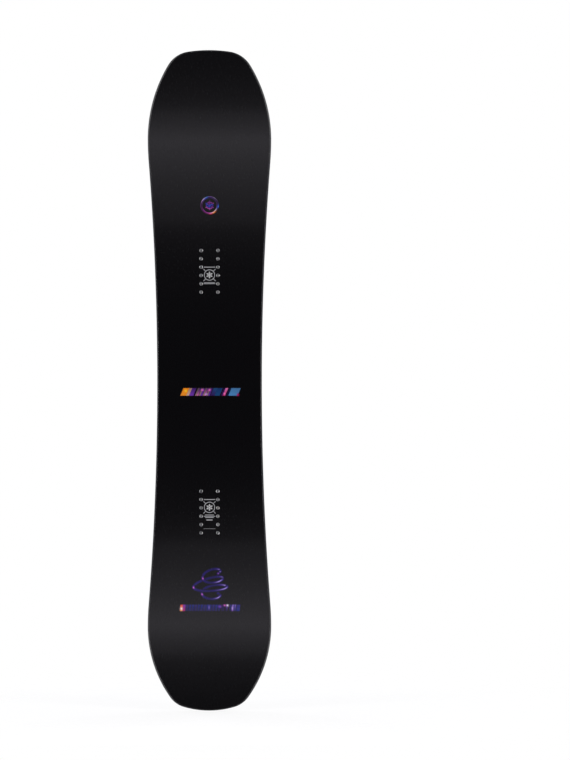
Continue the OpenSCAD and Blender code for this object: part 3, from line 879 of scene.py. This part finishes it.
def column_lenses(ink):
    """Two lenses in indigo glass, over a dark block and a bright pink one."""
    pane(ink, upright(-47, 53, -384, -198), NAVY, INDIGO, -1.2, 4)
    thread(ink, bezier((-40, -206), (-10, -198), (24, -198), (52, -212)), 3,
           [PLUM, (0.1, 0.02, 0.2)], 0.9, 0)
    lens(ink, (-21, -246), 20, 44, -1)
    lens(ink, (28, -259), 23, 49, 1)
    for u, low in ((-11, -300), (20, -348)):
        thread(ink, [(u, -202), (u, low)], 1.8, [(0.05, 0.2, 0.4), (0.12, 0.45, 0.6), DEEP], 0.8)
    spot(ink, (-10, -307), 7, 3.5, LAVENDER, 0.9)
    pane(ink, [(-40, -372), (14, -372), (10, -316), (-40, -316)], (0.12, 0.12, 0.19), INDIGO,
         1.2, 8, 0.8)
    thread(ink, bezier((-44, -336), (-38, -352), (-30, -362), (-18, -376)), 1.3,
           [INDIGO, LAVENDER], 0.9)
    thread(ink, [(16, -362), (30, -381)], 1.5, [ORANGE, YELLOW, ORANGE], 0.9)
    spot(ink, (42, -379), 8, 2.5, VIOLET, 0.9)

    pane(ink, upright(-46, 12, -480, -380), NAVY, INDIGO, 0, 5)
    pane(ink, upright(8, 54, -480, -426), NAVY, INDIGO, 0, 5)
    pane(ink, [(-36, -378), (22, -430), (58, -424), (-6, -368)], CRIMSON, (0.2, 0.1, 0.5), 0, 4)
    pane(ink, [(-30, -378), (22, -422), (46, -416), (-10, -369)], (1.0, 0.42, 0.72),
         (1.0, 0.66, 0.86), 1.1, 4)
    thread(ink, [(30, -398), (56, -424)], 3, [LAVENDER, (0.3, 0.3, 0.8)], 0.8)
    thread(ink, [(-53, -371), (17, -429)], 1.7, [ORANGE, YELLOW, ORANGE])
    for u, low in ((-11, -480), (21, -476)):
        thread(ink, [(u, -428), (u, low)], 2.0, [DEEP, (0.1, 0.4, 0.68), DEEP], 0.9)


def column_foot(ink):
    """Bright blue striated glass between darker uprights, fading out at the tail."""
    pane(ink, upright(-43, -22, -584, -478), DEEP, (0.04, 0.13, 0.28), 0, 4)
    pane(ink, upright(33, 50, -650, -480), (0.04, 0.16, 0.36), DEEP, 0, 4)
    pane(ink, upright(10, 36, -650, -560), (0.06, 0.10, 0.26), NAVY, 0, 4, 0.9)
    pane(ink, upright(-24, 10, -566, -474), (0.05, 0.24, 0.56), BLUE, 0)
    pane(ink, upright(-8, 31, -570, -491), BLUE, (0.05, 0.30, 0.62), 0)
    for u, high, low, colour, share in (
            (-37, -490, -576, CYAN, 0.7), (-12, -480, -562, CYAN, 0.8),
            (3, -492, -566, CYAN, 0.8), (-18, -476, -560, VIOLET, 0.5),
            (12, -494, -566, VIOLET, 0.7), (21, -480, -560, CYAN, 0.9),
            (28, -494, -564, LILAC, 0.7), (46, -492, -632, CYAN, 0.9),
            (21, -568, -640, DEEP, 0.9)):
        thread(ink, [(u, high), (u, low)], 2.0, [colour, colour], share)
    for a, b in (((-26, -474), (12, -474)), ((-6, -491), (40, -491)), ((-14, -569), (30, -569))):
        thread(ink, [a, b], 1.5, [VIOLET, LILAC, VIOLET], 0.8)
    pane(ink, upright(-46, 6, -594, -579), (0.24, 0.03, 0.35), PLUM, 1.57, 4)
    thread(ink, [(-42, -593), (4, -593)], 2.0, [(0.2, 0.2, 0.66), (0.3, 0.2, 0.7), LAVENDER])
    for u, high, low in ((12, -552, -640), (-44, -540, -586), (55, -526, -640)):
        thread(ink, [(u, high), (u, low)], 1.6, [CRIMSON, (0.75, 0.1, 0.42), CRIMSON], 0.85)
    for place in ((19, -470), (40, -489), (-3, -588)):
        spot(ink, place, 2.5, 4, LAVENDER, 0.8)


def column_picture():
    """The base's tall column: abstract coloured glass, nothing that can be read."""
    ink = Ink((-58, 62), (-652, 262), 1.2)
    column_top(ink)
    column_bands(ink)
    column_lenses(ink)
    column_foot(ink)
    ink.cover = ink.cover * np.clip((ink.v + 652) / 60, 0, 1)
    return ink


def crystal_arms(ink, centre, size, twigs=((0.42, 0.26), (0.68, 0.2))):
    """Distance from the lines of a six-armed snow crystal. twigs are shares of an arm."""
    best = np.full(ink.u.shape, 1e9)
    for k in range(6):
        a = math.pi / 2 + k * math.pi / 3
        ray = np.array([math.cos(a), math.sin(a)])
        lines = [(np.array(centre), size * ray)]
        for share, length in twigs:
            for turn in (-math.pi / 3, math.pi / 3):
                twig = length * size * np.array([math.cos(a + turn), math.sin(a + turn)])
                lines.append((centre + share * size * ray, twig))
        for root, reach in lines:
            best = np.minimum(best, ink.line(tuple(root), tuple(root + reach))[0])
    return best


RING_BODY = [(0, (0.12, 0.05, 0.24)), (0.12, (0.11, 0.05, 0.19)), (0.22, (0.07, 0.03, 0.09)),
             (0.27, (0.04, 0.08, 0.42)), (0.34, (0.16, 0.05, 0.16)), (0.40, (0.60, 0.18, 0.08)),
             (0.45, (0.40, 0.08, 0.12)), (0.52, (0.24, 0.05, 0.20)), (0.64, (0.20, 0.05, 0.21)),
             (0.76, (0.12, 0.03, 0.13)), (0.85, (0.20, 0.07, 0.30)), (0.92, (0.04, 0.06, 0.38)),
             (1, (0.12, 0.05, 0.24))]
RING_OUTER = [(0, (0.55, 0.36, 0.75)), (0.1, (0.72, 0.66, 0.82)), (0.17, (0.28, 0.16, 0.36)),
              (0.26, (0.10, 0.34, 0.85)), (0.33, (0.30, 0.14, 0.16)), (0.40, (0.90, 0.40, 0.08)),
              (0.46, (0.70, 0.14, 0.12)), (0.54, (0.30, 0.07, 0.18)), (0.66, (0.40, 0.13, 0.40)),
              (0.78, (0.50, 0.25, 0.54)), (0.87, (0.80, 0.66, 0.88)), (0.95, (0.20, 0.62, 0.78)),
              (1, (0.55, 0.36, 0.75))]
RING_INNER = [(0, (0.14, 0.08, 0.26)), (0.2, (0.30, 0.12, 0.40)), (0.3, (0.52, 0.46, 0.85)),
              (0.35, WHITE), (0.41, (1.0, 0.62, 0.62)), (0.46, CANDY), (0.55, (0.62, 0.20, 0.58)),
              (0.64, (0.55, 0.18, 0.55)), (0.74, (0.24, 0.10, 0.26)), (0.86, (0.34, 0.20, 0.44)),
              (0.93, (0.08, 0.14, 0.50)), (1, (0.14, 0.08, 0.26))]


def ring_badge(ink, centre, radius, width, crystal, line):
    """A dark glassy tube bent into a ring, lit along both its rims, round a snow crystal."""
    du, dv = ink.u - centre[0], ink.v - centre[1]
    clock = np.mod(np.arctan2(du, dv) / (2 * math.pi), 1)
    t = 2 * (np.hypot(du, dv) - radius) / width + 1
    body = blend_colours(clock, RING_BODY)
    ripple = 0.75 + 0.25 * np.sin(2 * math.pi * 7 * clock + 2 * t)
    ink.paint(ink.inside((np.abs(t) - 1) * width / 2), 0.8 * body * ripple[..., None])
    low_side = np.exp(-(((clock - 0.5) / 0.14) ** 2))
    fine = 0.16 if width > 10 else 0.3
    for side, wide, stops in ((0.9, fine, RING_OUTER), (-0.3, fine, RING_BODY),
                              (0.3 * low_side - 0.86, fine * (1 + low_side), RING_INNER)):
        ink.light(0.95 * np.exp(-(((t - side) / wide) ** 2)), blend_colours(clock, stops))
    for place, spread, side, reach, colour in (
            (0.27, 0.03, 0.6, 0.5, (0.10, 0.36, 0.95)), (0.405, 0.035, 0.3, 0.4, ORANGE),
            (0.425, 0.015, -0.1, 0.3, YELLOW), (0.46, 0.03, -0.55, 0.3, CANDY),
            (0.36, 0.03, -0.7, 0.25, WHITE), (0.87, 0.06, 0.6, 0.35, LAVENDER),
            (0.48, 0.03, 0.55, 0.35, (0.8, 0.12, 0.12)), (0.94, 0.03, 0.3, 0.3, (0.1, 0.3, 0.8))):
        away = np.abs(np.mod(clock - place + 0.5, 1) - 0.5)
        glint = np.exp(-((away / spread) ** 2) - ((t - side) / reach) ** 2)
        ink.light(glint * (np.abs(t) < 1.05), colour)
    arms = crystal_arms(ink, centre, crystal, ((0.52, 0.36),))
    turned_to = ink.swirl(1.3, crystal * 0.6, crystal * 0.7, 0.8)
    shade = blend_colours(turned_to, [(0, (0.02, 0.20, 0.66)), (0.3, (0.12, 0.05, 0.38)),
                                      (0.6, (0.30, 0.07, 0.36)), (0.9, (0.50, 0.13, 0.46)),
                                      (1, (0.70, 0.30, 0.62))])
    ink.paint(ink.inside(arms - line / 2), shade)
    ink.light(0.5 * np.exp(-(((arms - line / 2 + 0.6 * ink.step) / (0.1 * line)) ** 2)), VIOLET)
    ink.light(0.25 * np.exp(-((arms / (0.12 * line)) ** 2)), LAVENDER)


def base_badge_picture():
    ink = Ink((-90, 94), (434, 616), 0.9)
    ring_badge(ink, (1, 525.5), 84.5, 19, 43, 8)
    return ink


def small_badge_picture():
    ink = Ink((-25, 25), (400, 450), 0.4)
    ring_badge(ink, (0.3, 425.5), 21.6, 4.2, 10.5, 2.2)
    return ink


def coil_picture():
    """A spring of dark glossy tube in three turns, the middle one wide, tilted up to the right."""
    ink = Ink((-52, 54), (-526, -436), 0.6)
    turns = np.linspace(-0.12, 3.12, 200)
    reach = 21 + 24 * np.exp(-(((turns - 1.35) / 0.55) ** 2))
    angle = 2 * math.pi * turns
    coil_u = 5 + reach * np.cos(angle)
    coil_v = -511.5 + 19.3 * turns - 11 * np.sin(angle) + 0.13 * reach * np.cos(angle)
    near = np.sin(angle) > 0
    starts = np.flatnonzero(np.diff(near.astype(int), prepend=-1))
    runs = list(zip(starts, [*starts[1:], len(turns) - 1]))
    for front in (False, True):
        for first, last in runs:
            if near[(first + last) // 2] != front:
                continue
            points = np.column_stack([coil_u, coil_v])[first:last + 1].tolist()
            d, along = ink.path(points)
            ink.paint(0.8 * ink.inside(d - 4.2, 2.5), (0.03, 0.02, 0.07))
            t = d / 3.1
            body = blend_colours(along, [(0, (0.13, 0.08, 0.42)), (0.5, (0.09, 0.05, 0.32)),
                                         (1, (0.15, 0.09, 0.44))])
            ink.paint(ink.inside(d - 3.3), body * (1.1 - 0.4 * np.clip(t, 0, 1)[..., None]))
            lit = np.exp(-(((along - (0.2 if front else 0.9)) / 0.16) ** 2))
            ink.light(lit * np.exp(-((d / 1.3) ** 2)), LAVENDER)
            if front:
                pink = np.exp(-(((along - 0.93) / 0.06) ** 2))
                ink.light(pink * np.exp(-((d / 1.6) ** 2)), PINK)
    return ink


def strip_picture(middle, tall, lean, panes, glints):
    """A strip of slanted glass panes, each (left, right, colour, colour), with a few glints."""
    left, right = panes[0][0] - 8, panes[-1][1] + 8
    ink = Ink((left, right), (middle - tall / 2 - 3, middle + tall / 2 + 3), 0.5)
    low, high = middle - tall / 2, middle + tall / 2
    for start_u, stop_u, a, b in panes:
        shift = lean * tall / 2
        points = [(start_u - shift, low), (stop_u - shift, low), (stop_u + shift, high),
                  (start_u + shift, high)]
        pane(ink, points, a, b, 1.2, 1.2)
    for place, ru, rv, colour in glints:
        spot(ink, place, ru, rv, colour)
    ink.cover = ink.cover * ink.inside(np.abs(ink.v - middle) - tall / 2 - 1, 1.5)
    return ink


def waist_strip_picture():
    gold, peach, dusk = (0.93, 0.56, 0.16), (0.80, 0.66, 0.56), (0.20, 0.10, 0.34)
    steel, sky = (0.10, 0.28, 0.46), (0.30, 0.54, 0.76)
    panes = [(-66, -52, gold, ORANGE), (-52, -45, peach, (0.6, 0.45, 0.4)),
             (-45, -35, VIOLET, dusk)]
    for k in range(4):
        start_u = -31 + 9 * k
        panes.append((start_u, start_u + 4, (0.62, 0.46, 0.5), MAUVE))
        panes.append((start_u + 4, start_u + 8, VIOLET if k % 2 else ROSE, dusk))
    panes += [(6, 16, dusk, steel), (16, 28, steel, (0.08, 0.2, 0.4)), (31, 35, dusk, INDIGO),
              (35, 41, CRIMSON, ROSE), (44, 48, NAVY, NAVY), (49, 71, sky, (0.26, 0.44, 0.62))]
    glints = [((-57, -19), 3, 3, YELLOW), ((-17, -17), 3.5, 2.5, PINK), ((0, -17), 3, 2.5, PINK),
              ((-8, -27), 3, 2, LAVENDER), ((68, -29), 2.5, 3.5, CRIMSON), ((36, -26), 2, 3, CANDY)]
    return strip_picture(-21.5, 18, 0.42, panes, glints)


def tail_strip_picture():
    dark, pale = (0.10, 0.08, 0.32), (0.16, 0.13, 0.46)
    panes = [(-70, -64, ORANGE, (0.9, 0.3, 0.3)), (-64, -58, (0.7, 0.1, 0.4), VIOLET)]
    for k in range(12):
        start_u = -56.5 + 7.0 * k
        panes.append((start_u, start_u + 5.2, dark, (0.08, 0.14, 0.48) if k % 3 else pale))
    panes += [(29, 36, INDIGO, PLUM), (39, 44, INDIGO, VIOLET), (48, 52.5, INDIGO, pale),
              (54, 57.5, VIOLET, LILAC), (59.5, 63, pale, LILAC), (65, 73, (0.12, 0.16, 0.5), pale)]
    glints = [((-67, -541), 3, 4, WHITE), ((25, -536), 4, 3, VIOLET), ((43, -533), 2.6, 2.6, WHITE),
              ((36, -533), 2.5, 2, PINK), ((-1, -538), 1.5, 5, LILAC), ((55, -540), 2, 4, LAVENDER)]
    return strip_picture(-539, 15, 0.1, panes, glints)


def marks_picture(middle, dashes):
    """Stance marks in grey ink: a circle with ticks, a bar above it and dashes below.

    Each dash is (half its length, its level from the middle, its thickness).
    """
    low = min(dash[1] for dash in dashes) - 3
    ink = Ink((-15.2, 15.2), (middle + low, middle + 23), 0.32)
    centre = (0, middle + 1.2)
    d = np.abs(np.hypot(ink.u, ink.v - centre[1]) - 12.5) - 0.65
    for k in range(4):
        a = math.pi / 4 + k * math.pi / 2
        ray = np.array([math.cos(a), math.sin(a)])
        tick, _ = ink.line(tuple(14 * ray + centre), tuple(20 * ray + centre))
        d = np.minimum(d, tick - 0.6)
    for half, v, thick in [(13.8, 20, 1.5)] + dashes:
        side = np.maximum(np.abs(ink.u) - half, np.abs(ink.v - middle - v) - thick / 2)
        d = np.minimum(d, side)
    ink.paint(ink.inside(d), MARK_GREY)
    ink.paint(ink.inside(crystal_arms(ink, centre, 8) - 0.4), (0.88, 0.88, 0.88))
    return ink


# ------------------------------------------------------------------ parts of the deck

TOOTH_HALF = 0.275      # half a tooth's length, as a share of the teeth's pitch
GAP_REACH = 1.1         # how far the edge's foot reaches past the base sheet between teeth
EDGE_JOINT = 0.1        # gap between the steel and the base sheet
EDGE_ROUND = 0.22       # how far the steel's outer corner is rounded
EDGE_LEAD = 0.12        # the small bevel at the steel's upper corner
# The outer corners of sidewalls and spacers, as rim_points takes them, from below and from above.
WALL_FOOT = [(WALL_INSET + 0.02, CORE_FOOT + 0.2, 0), (WALL_INSET + 0.06, CORE_FOOT + 0.06, 0),
             (WALL_INSET + 0.2, CORE_FOOT, 0)]
WALL_HEAD = [(BEVEL + 0.5, 0, 1), (BEVEL + 0.2, -0.04, 1), (BEVEL - 0.02, -0.2, 1)]
SPACER_STEPS = 10       # from a spacer's outer side to its inner side
BORE_R = 2.5
COLLAR_R = 3.8
BARREL_R = 4.5
FLANGE_R = 9
FLANGE_T = 0.8
COLLAR_T = 0.75
INSERT_SIDES = 36
THREAD_RINGS = 46


def base_and_top():
    sheet("base_sheet", BASE_INSET, SINK, BASE_TOP, 0, 0.1, polished("sintered_base"))
    sheet("topsheet", SHEET_INSET, SHEET_FOOT, SHEET_HEAD - SINK, 1, 0.2, satin("satin_topsheet"),
          insert_places())


def edge_stations():
    """Rim stations for an edge, and the reach of its foot at each: four to a tooth."""
    start, stop = EDGE_GAP, RIM_LENGTH - EDGE_GAP
    count = int((stop - start) // TOOTH_PITCH)
    pitch = (stop - start) / count
    half = TOOTH_HALF * pitch
    offsets = [-half - TOOTH_FLANK, -half, half, half + TOOTH_FLANK]
    middles = start + (np.arange(count) + 0.5) * pitch
    s = np.unique(np.concatenate([stations(start, stop), *(middles + o for o in offsets)]))
    off = np.abs(s - middles[np.argmin(np.abs(s[:, None] - middles[None, :]), axis=1)])
    reach = np.interp(off, [half, half + TOOTH_FLANK], [TOOTH_REACH, BASE_INSET + GAP_REACH])
    return s, reach


def steel_edges(material):
    """The steel that shows, and its foot in the laminate with the teeth."""
    s, reach = edge_stations()
    width = BASE_INSET - EDGE_JOINT
    foot = BASE_TOP + 0.05
    corner = [(EDGE_ROUND * t**2, EDGE_ROUND * (1 - t) ** 2, 0) for t in np.linspace(0, 1, 4)]
    section = [(0, EDGE_TOP - EDGE_LEAD, 0), *corner, (width, 0, 0), (width, foot, 0),
               (reach, foot, 0), (reach, EDGE_TOP, 0), (EDGE_LEAD, EDGE_TOP, 0)]
    for side, name in ((1, "toe_edge"), (-1, "heel_edge")):
        tube(name, rim_points(s, side, section), side == -1, material)


def sidewalls(material):
    s = stations(rim_at(-WALL_HALF), rim_at(WALL_HALF))
    section = WALL_FOOT + [(WALL_REACH, CORE_FOOT, 0), (WALL_REACH, 0, 1)] + WALL_HEAD
    for side, name in ((1, "toe_sidewall"), (-1, "heel_sidewall")):
        tube(name, rim_points(s, side, section), side == -1, material)


def spacer(name, end, material):
    """A tip spacer: fills a tip round the end of the core."""
    joint = rim_at(end * SPACER_START)
    s = stations(joint, RIM_LENGTH) if end == 1 else stations(0, joint)[::-1]
    p, out = rim(s)
    inner = p - WALL_REACH * out
    inner[:, 1] = end * np.minimum(end * inner[:, 1], CORE_HALF + 0.1)
    shares = np.arange(1, SPACER_STEPS + 1) / SPACER_STEPS
    section = [(*corner, 0) for corner in WALL_FOOT]
    section += [(*WALL_FOOT[-1], share) for share in shares]
    section += [(*WALL_HEAD[0], share) for share in shares[::-1]]
    section += [(*corner, 0) for corner in WALL_HEAD]
    swept = []
    for inset, height, upper, share in section:
        q = p - inset * out
        q = q + share * (inner - q)
        swept.append(np.column_stack([q, level(height, q[:, 1], upper)]))
    half = np.stack(swept, axis=1)
    other = half[-2::-1] * np.array([-1, 1, 1])
    tube(name, np.concatenate([half, other]), end == -1, material)


def insert_outside():
    """(radius, level) up the outside of an insert and over its top to the countersink."""
    foot, head, flange = INSERT_FOOT, INSERT_HEAD, INSERT_FOOT + FLANGE_T
    return [
        (BORE_R + 0.1, foot), (FLANGE_R - 0.15, foot), (FLANGE_R, foot + 0.15),
        (FLANGE_R, flange - 0.15), (FLANGE_R - 0.15, flange), (BARREL_R + 0.35, flange),
        (BARREL_R + 0.1, flange + 0.1), (BARREL_R, flange + 0.35),
        (BARREL_R, head - COLLAR_T - 0.15), (COLLAR_R, head - COLLAR_T), (COLLAR_R, head - 0.1),
        (COLLAR_R - 0.06, head - 0.02), (COLLAR_R - 0.12, head), (COLLAR_R - 0.2, head - 0.02),
        (BORE_R + 0.7, head - 0.15), (BORE_R + 0.6, head - 0.24)]


def insert_mesh(centre):
    """Points and faces of one threaded insert: flange, barrel, countersink and helical thread."""
    turn = np.linspace(0, 2 * math.pi, INSERT_SIDES, endpoint=False)
    rings = [(np.full(INSERT_SIDES, r), z) for r, z in insert_outside()]
    for z in np.linspace(INSERT_HEAD - 0.8, INSERT_FOOT + 0.15, THREAD_RINGS):
        phase = np.mod(z / M6_PITCH - turn / (2 * math.pi), 1)
        groove = np.clip(1.25 * (1 - np.abs(2 * phase - 1)) - 0.12, 0, 1)
        fade = min(1.0, (z - INSERT_FOOT) / 0.6)
        rings.append((BORE_R + M6_DEPTH * groove * fade + 0.02, z))
    points = [
        np.column_stack([centre[0] + r * np.cos(turn), centre[1] + r * np.sin(turn),
                         np.full(INSERT_SIDES, z)])
        for r, z in rings
    ]
    faces = tube_faces(len(rings), INSERT_SIDES, capped=False)
    last = (len(rings) - 1) * INSERT_SIDES
    for j in range(INSERT_SIDES):
        k = (j + 1) % INSERT_SIDES
        faces.append((last + j, last + k, k, j))
    return np.concatenate(points), faces


def inserts(material):
    for end, middle in PACKS.items():
        points, faces = [], []
        for place in insert_places():
            if abs(place[1] - middle) > ROWS * ROW_PITCH / 2:
                continue
            p, f = insert_mesh(place)
            offset = sum(len(q) for q in points)
            points.append(p)
            faces += [tuple(i + offset for i in face) for face in f]
        name = end + "_inserts"
        piece(name + "_threaded", np.concatenate(points), faces, material, [name])


def inks():
    ink = polished("inked_base", True)
    film("base_column_print", column_picture(), -1, ink)
    film("base_badge_print", base_badge_picture(), -1, ink)
    front_dashes = [(13.2, -17, 1.0), (14, -19.6, 1.2)]
    rear_dashes = [(10.6, -17, 1.2), (13.8, -20.2, 1.2), (10.4, -23.2, 1.4), (7.2, -29, 2.0),
                   (14, -50, 0.5)]
    ink = satin("inked_topsheet", True)
    for name, picture in (
            ("topsheet_badge_print", small_badge_picture()),
            ("topsheet_coil_print", coil_picture()),
            ("waist_strip_print", waist_strip_picture()),
            ("tail_strip_print", tail_strip_picture()),
            ("front_stance_marks", marks_picture(PACKS["front"] - 10, front_dashes)),
            ("rear_stance_marks", marks_picture(PACKS["rear"] + 10, rear_dashes))):
        film(name, picture, 1, ink)


def finish_cad_nodes():
    """Gives each CAD node that is still shown its own material."""
    glass = glass_laminate()
    foil = grained("damping_rubber", (0.009,) * 3, (0.02,) * 3, 1 / 0.25, (0.65, 0.85), 0.4, 0.03)
    tape = grained("carbon_tape", (0.01,) * 3, (0.05, 0.05, 0.054), (1 / 0.3, 1 / 0.3, 1 / 60),
                   (0.2, 0.4), 0.3, 0.03, 0.6)
    mat = grained("binding_mat", (0.3, 0.27, 0.16), (0.55, 0.51, 0.36), (1 / 0.8, 1 / 2, 1 / 5),
                  (0.4, 0.6), 0.4, 0.08)
    seal = grained("seal_film", (0.3,) * 3, (0.5, 0.5, 0.48), 1 / 3, (0.3, 0.5), 0.2, 0.02)
    looks = {
        "toe_damping_strip": foil, "heel_damping_strip": foil,
        "lower_glass": glass, "upper_glass": glass,
        "lower_carbon_tapes": tape, "nose_carbon_tapes": tape, "tail_carbon_tapes": tape,
        "core_poplar_strips": wood("poplar", (0.62, 0.50, 0.32), (0.46, 0.34, 0.19), 5, 0.4),
        "core_bamboo_strips": wood("bamboo", (0.60, 0.42, 0.19), (0.38, 0.23, 0.09), 2.2, 0.25),
        "core_paulownia_strips": wood("paulownia", (0.55, 0.44, 0.30), (0.36, 0.27, 0.17), 8, 0.6),
        "front_binding_mat": mat, "rear_binding_mat": mat,
        "front_insert_seals": seal, "rear_insert_seals": seal,
    }
    for name, material in looks.items():
        obj = frame["nodes"][name]
        obj.data.materials.clear()
        obj.data.materials.append(material)


# ------------------------------------------------------------------ light, floor and camera

TIP_PANEL = (0.9, 0.2)  # sizes in metres, as all lengths in this section
SIDE_PANEL = (0.5, 2.2)
FLOOR_R = 1.1
FLOOR_SIDES = 64
CAMERA_PLACE = (0.181, -8.0, 0.007)
CAMERA_LENS = 157.9


def area_light(name, place, aim, size, radiance, tint=(1, 1, 1)):
    """A soft panel of light, unseen by the camera, with the given brightness of its face."""
    data = bpy.data.lights.new(name, "AREA")
    data.shape = "RECTANGLE"
    data.size, data.size_y = size
    data.energy = radiance * math.pi * size[0] * size[1]
    data.color = tint
    obj = bpy.data.objects.new(name, data)
    obj.location = place
    obj.rotation_euler = (Vector(aim) - Vector(place)).to_track_quat("-Z", "Y").to_euler()
    obj.visible_camera = False
    bpy.context.scene.collection.objects.link(obj)


def lights():
    """A panel before each tip's bend, and tall ones to both sides, in front and behind."""
    for side, name in ((-1, "tail"), (1, "nose")):
        z = side * 0.64
        area_light(name + "_hump", (0, -0.8, z), (0, 1, z), TIP_PANEL, 1.6, (1, 0.96, 1.06))
        for end, place, radiance in (("front", (side * 1.7, -1.15, 0), 8.0),
                                     ("back", (side * 1.23, 1.58, 0), 5.6)):
            area_light(f"{end}_side_{name}", place, (0, 0, 0), SIDE_PANEL, radiance)


def world():
    """White behind the deck, and a dim room with soft bands in its reflections."""
    made = bpy.data.worlds.new("studio")
    bpy.context.scene.world = made
    made.use_nodes = True
    tree = made.node_tree
    tree.nodes.clear()
    ray = node(tree, "ShaderNodeTexCoord").outputs["Generated"]
    parts = node(tree, "ShaderNodeSeparateXYZ", {0: ray})
    across = maths(tree, "ABSOLUTE", parts.outputs[0])
    up = maths(tree, "ABSOLUTE", parts.outputs[2])
    behind = maths(tree, "GREATER_THAN", parts.outputs[1], 0.0)
    ahead = maths(tree, "SUBTRACT", 1.0, behind)

    def ramp(value, low, high, to):
        inputs = {"Value": value, "From Min": low, "From Max": high, "To Min": 0.0, "To Max": to}
        made_ramp = node(tree, "ShaderNodeMapRange", inputs, interpolation_type="SMOOTHSTEP")
        return made_ramp.outputs["Result"]

    side_glow = maths(tree, "MULTIPLY", ahead, ramp(across, 0.5, 0.95, 0.5))
    bright_band = maths(tree, "SUBTRACT", ramp(up, 0.345, 0.38, 7.5), ramp(up, 0.40, 0.44, 7.2))
    back_glow = maths(tree, "MULTIPLY", behind, bright_band)
    total = maths(tree, "ADD", maths(tree, "ADD", side_glow, back_glow), 0.012)
    room = node(tree, "ShaderNodeBackground", {"Color": (0.95, 0.95, 1.12, 1), "Strength": total})
    white = node(tree, "ShaderNodeBackground", {"Color": (1, 1, 1, 1), "Strength": 1.0})
    seen = node(tree, "ShaderNodeLightPath").outputs["Is Camera Ray"]
    mix = node(tree, "ShaderNodeMixShader", {0: seen, 1: room.outputs[0], 2: white.outputs[0]})
    node(tree, "ShaderNodeOutputWorld", {"Surface": mix.outputs[0]})


def floor_material():
    """Matt and faintly lit in itself, clear towards the floor's rim."""
    made = bpy.data.materials.new("pale_floor")
    made.use_nodes = True
    tree = made.node_tree
    tree.nodes.clear()
    place = node(tree, "ShaderNodeTexCoord").outputs["Object"]
    flat = node(tree, "ShaderNodeVectorMath", {0: place, 1: (1, 1, 0)}, operation="MULTIPLY")
    far = node(tree, "ShaderNodeVectorMath", {0: flat.outputs[0]}, operation="LENGTH")
    inputs = {"Value": far.outputs["Value"], "From Min": 0.2, "From Max": FLOOR_R}
    fade = node(tree, "ShaderNodeMapRange", inputs, interpolation_type="SMOOTHSTEP")
    glow = node(tree, "ShaderNodeEmission", {"Color": (1, 1, 1, 1), "Strength": 0.86})
    matt = node(tree, "ShaderNodeBsdfDiffuse", {"Color": (0.16, 0.16, 0.16, 1)})
    lit = node(tree, "ShaderNodeAddShader", {0: glow.outputs[0], 1: matt.outputs[0]})
    clear = node(tree, "ShaderNodeBsdfTransparent")
    mix = node(tree, "ShaderNodeMixShader",
               {0: fade.outputs["Result"], 1: lit.outputs[0], 2: clear.outputs[0]})
    node(tree, "ShaderNodeOutputMaterial", {"Surface": mix.outputs[0]})
    return made


def floor():
    """A pale round floor under the tail that fades into the white round it."""
    turn = np.linspace(0, 2 * math.pi, FLOOR_SIDES, endpoint=False)
    points = [(FLOOR_R * math.cos(a), FLOOR_R * math.sin(a), TAIL_END / MM) for a in turn]
    mesh = bpy.data.meshes.new("floor")
    mesh.from_pydata(points, [], [tuple(range(FLOOR_SIDES))])
    mesh.materials.append(floor_material())
    obj = bpy.data.objects.new("floor", mesh)
    bpy.context.scene.collection.objects.link(obj)
    obj.visible_glossy = False
    obj.visible_diffuse = False


def camera():
    """Far in front of the deck and a little to its toe side, level with the waist."""
    data = bpy.data.cameras.new("camera")
    data.sensor_width = 36
    data.lens = CAMERA_LENS
    data.clip_end = 50
    obj = bpy.data.objects.new("camera", data)
    obj.location = CAMERA_PLACE
    obj.rotation_euler = (math.pi / 2, 0, 0)
    bpy.context.scene.collection.objects.link(obj)
    bpy.context.scene.camera = obj


base_and_top()
steel_edges(ground_steel())
sidewalls(milled_plastic("milled_sidewall", (0.011, 0.011, 0.012), 0.5))
for tip_name, tip_end in (("nose_spacer", 1), ("tail_spacer", -1)):
    spacer(tip_name, tip_end, milled_plastic(tip_name, (0.013, 0.013, 0.014), 0.7))
inserts(turned_steel())
inks()
finish_cad_nodes()
lights()
world()
floor()
camera()
bpy.context.scene.view_settings.view_transform = "Standard"
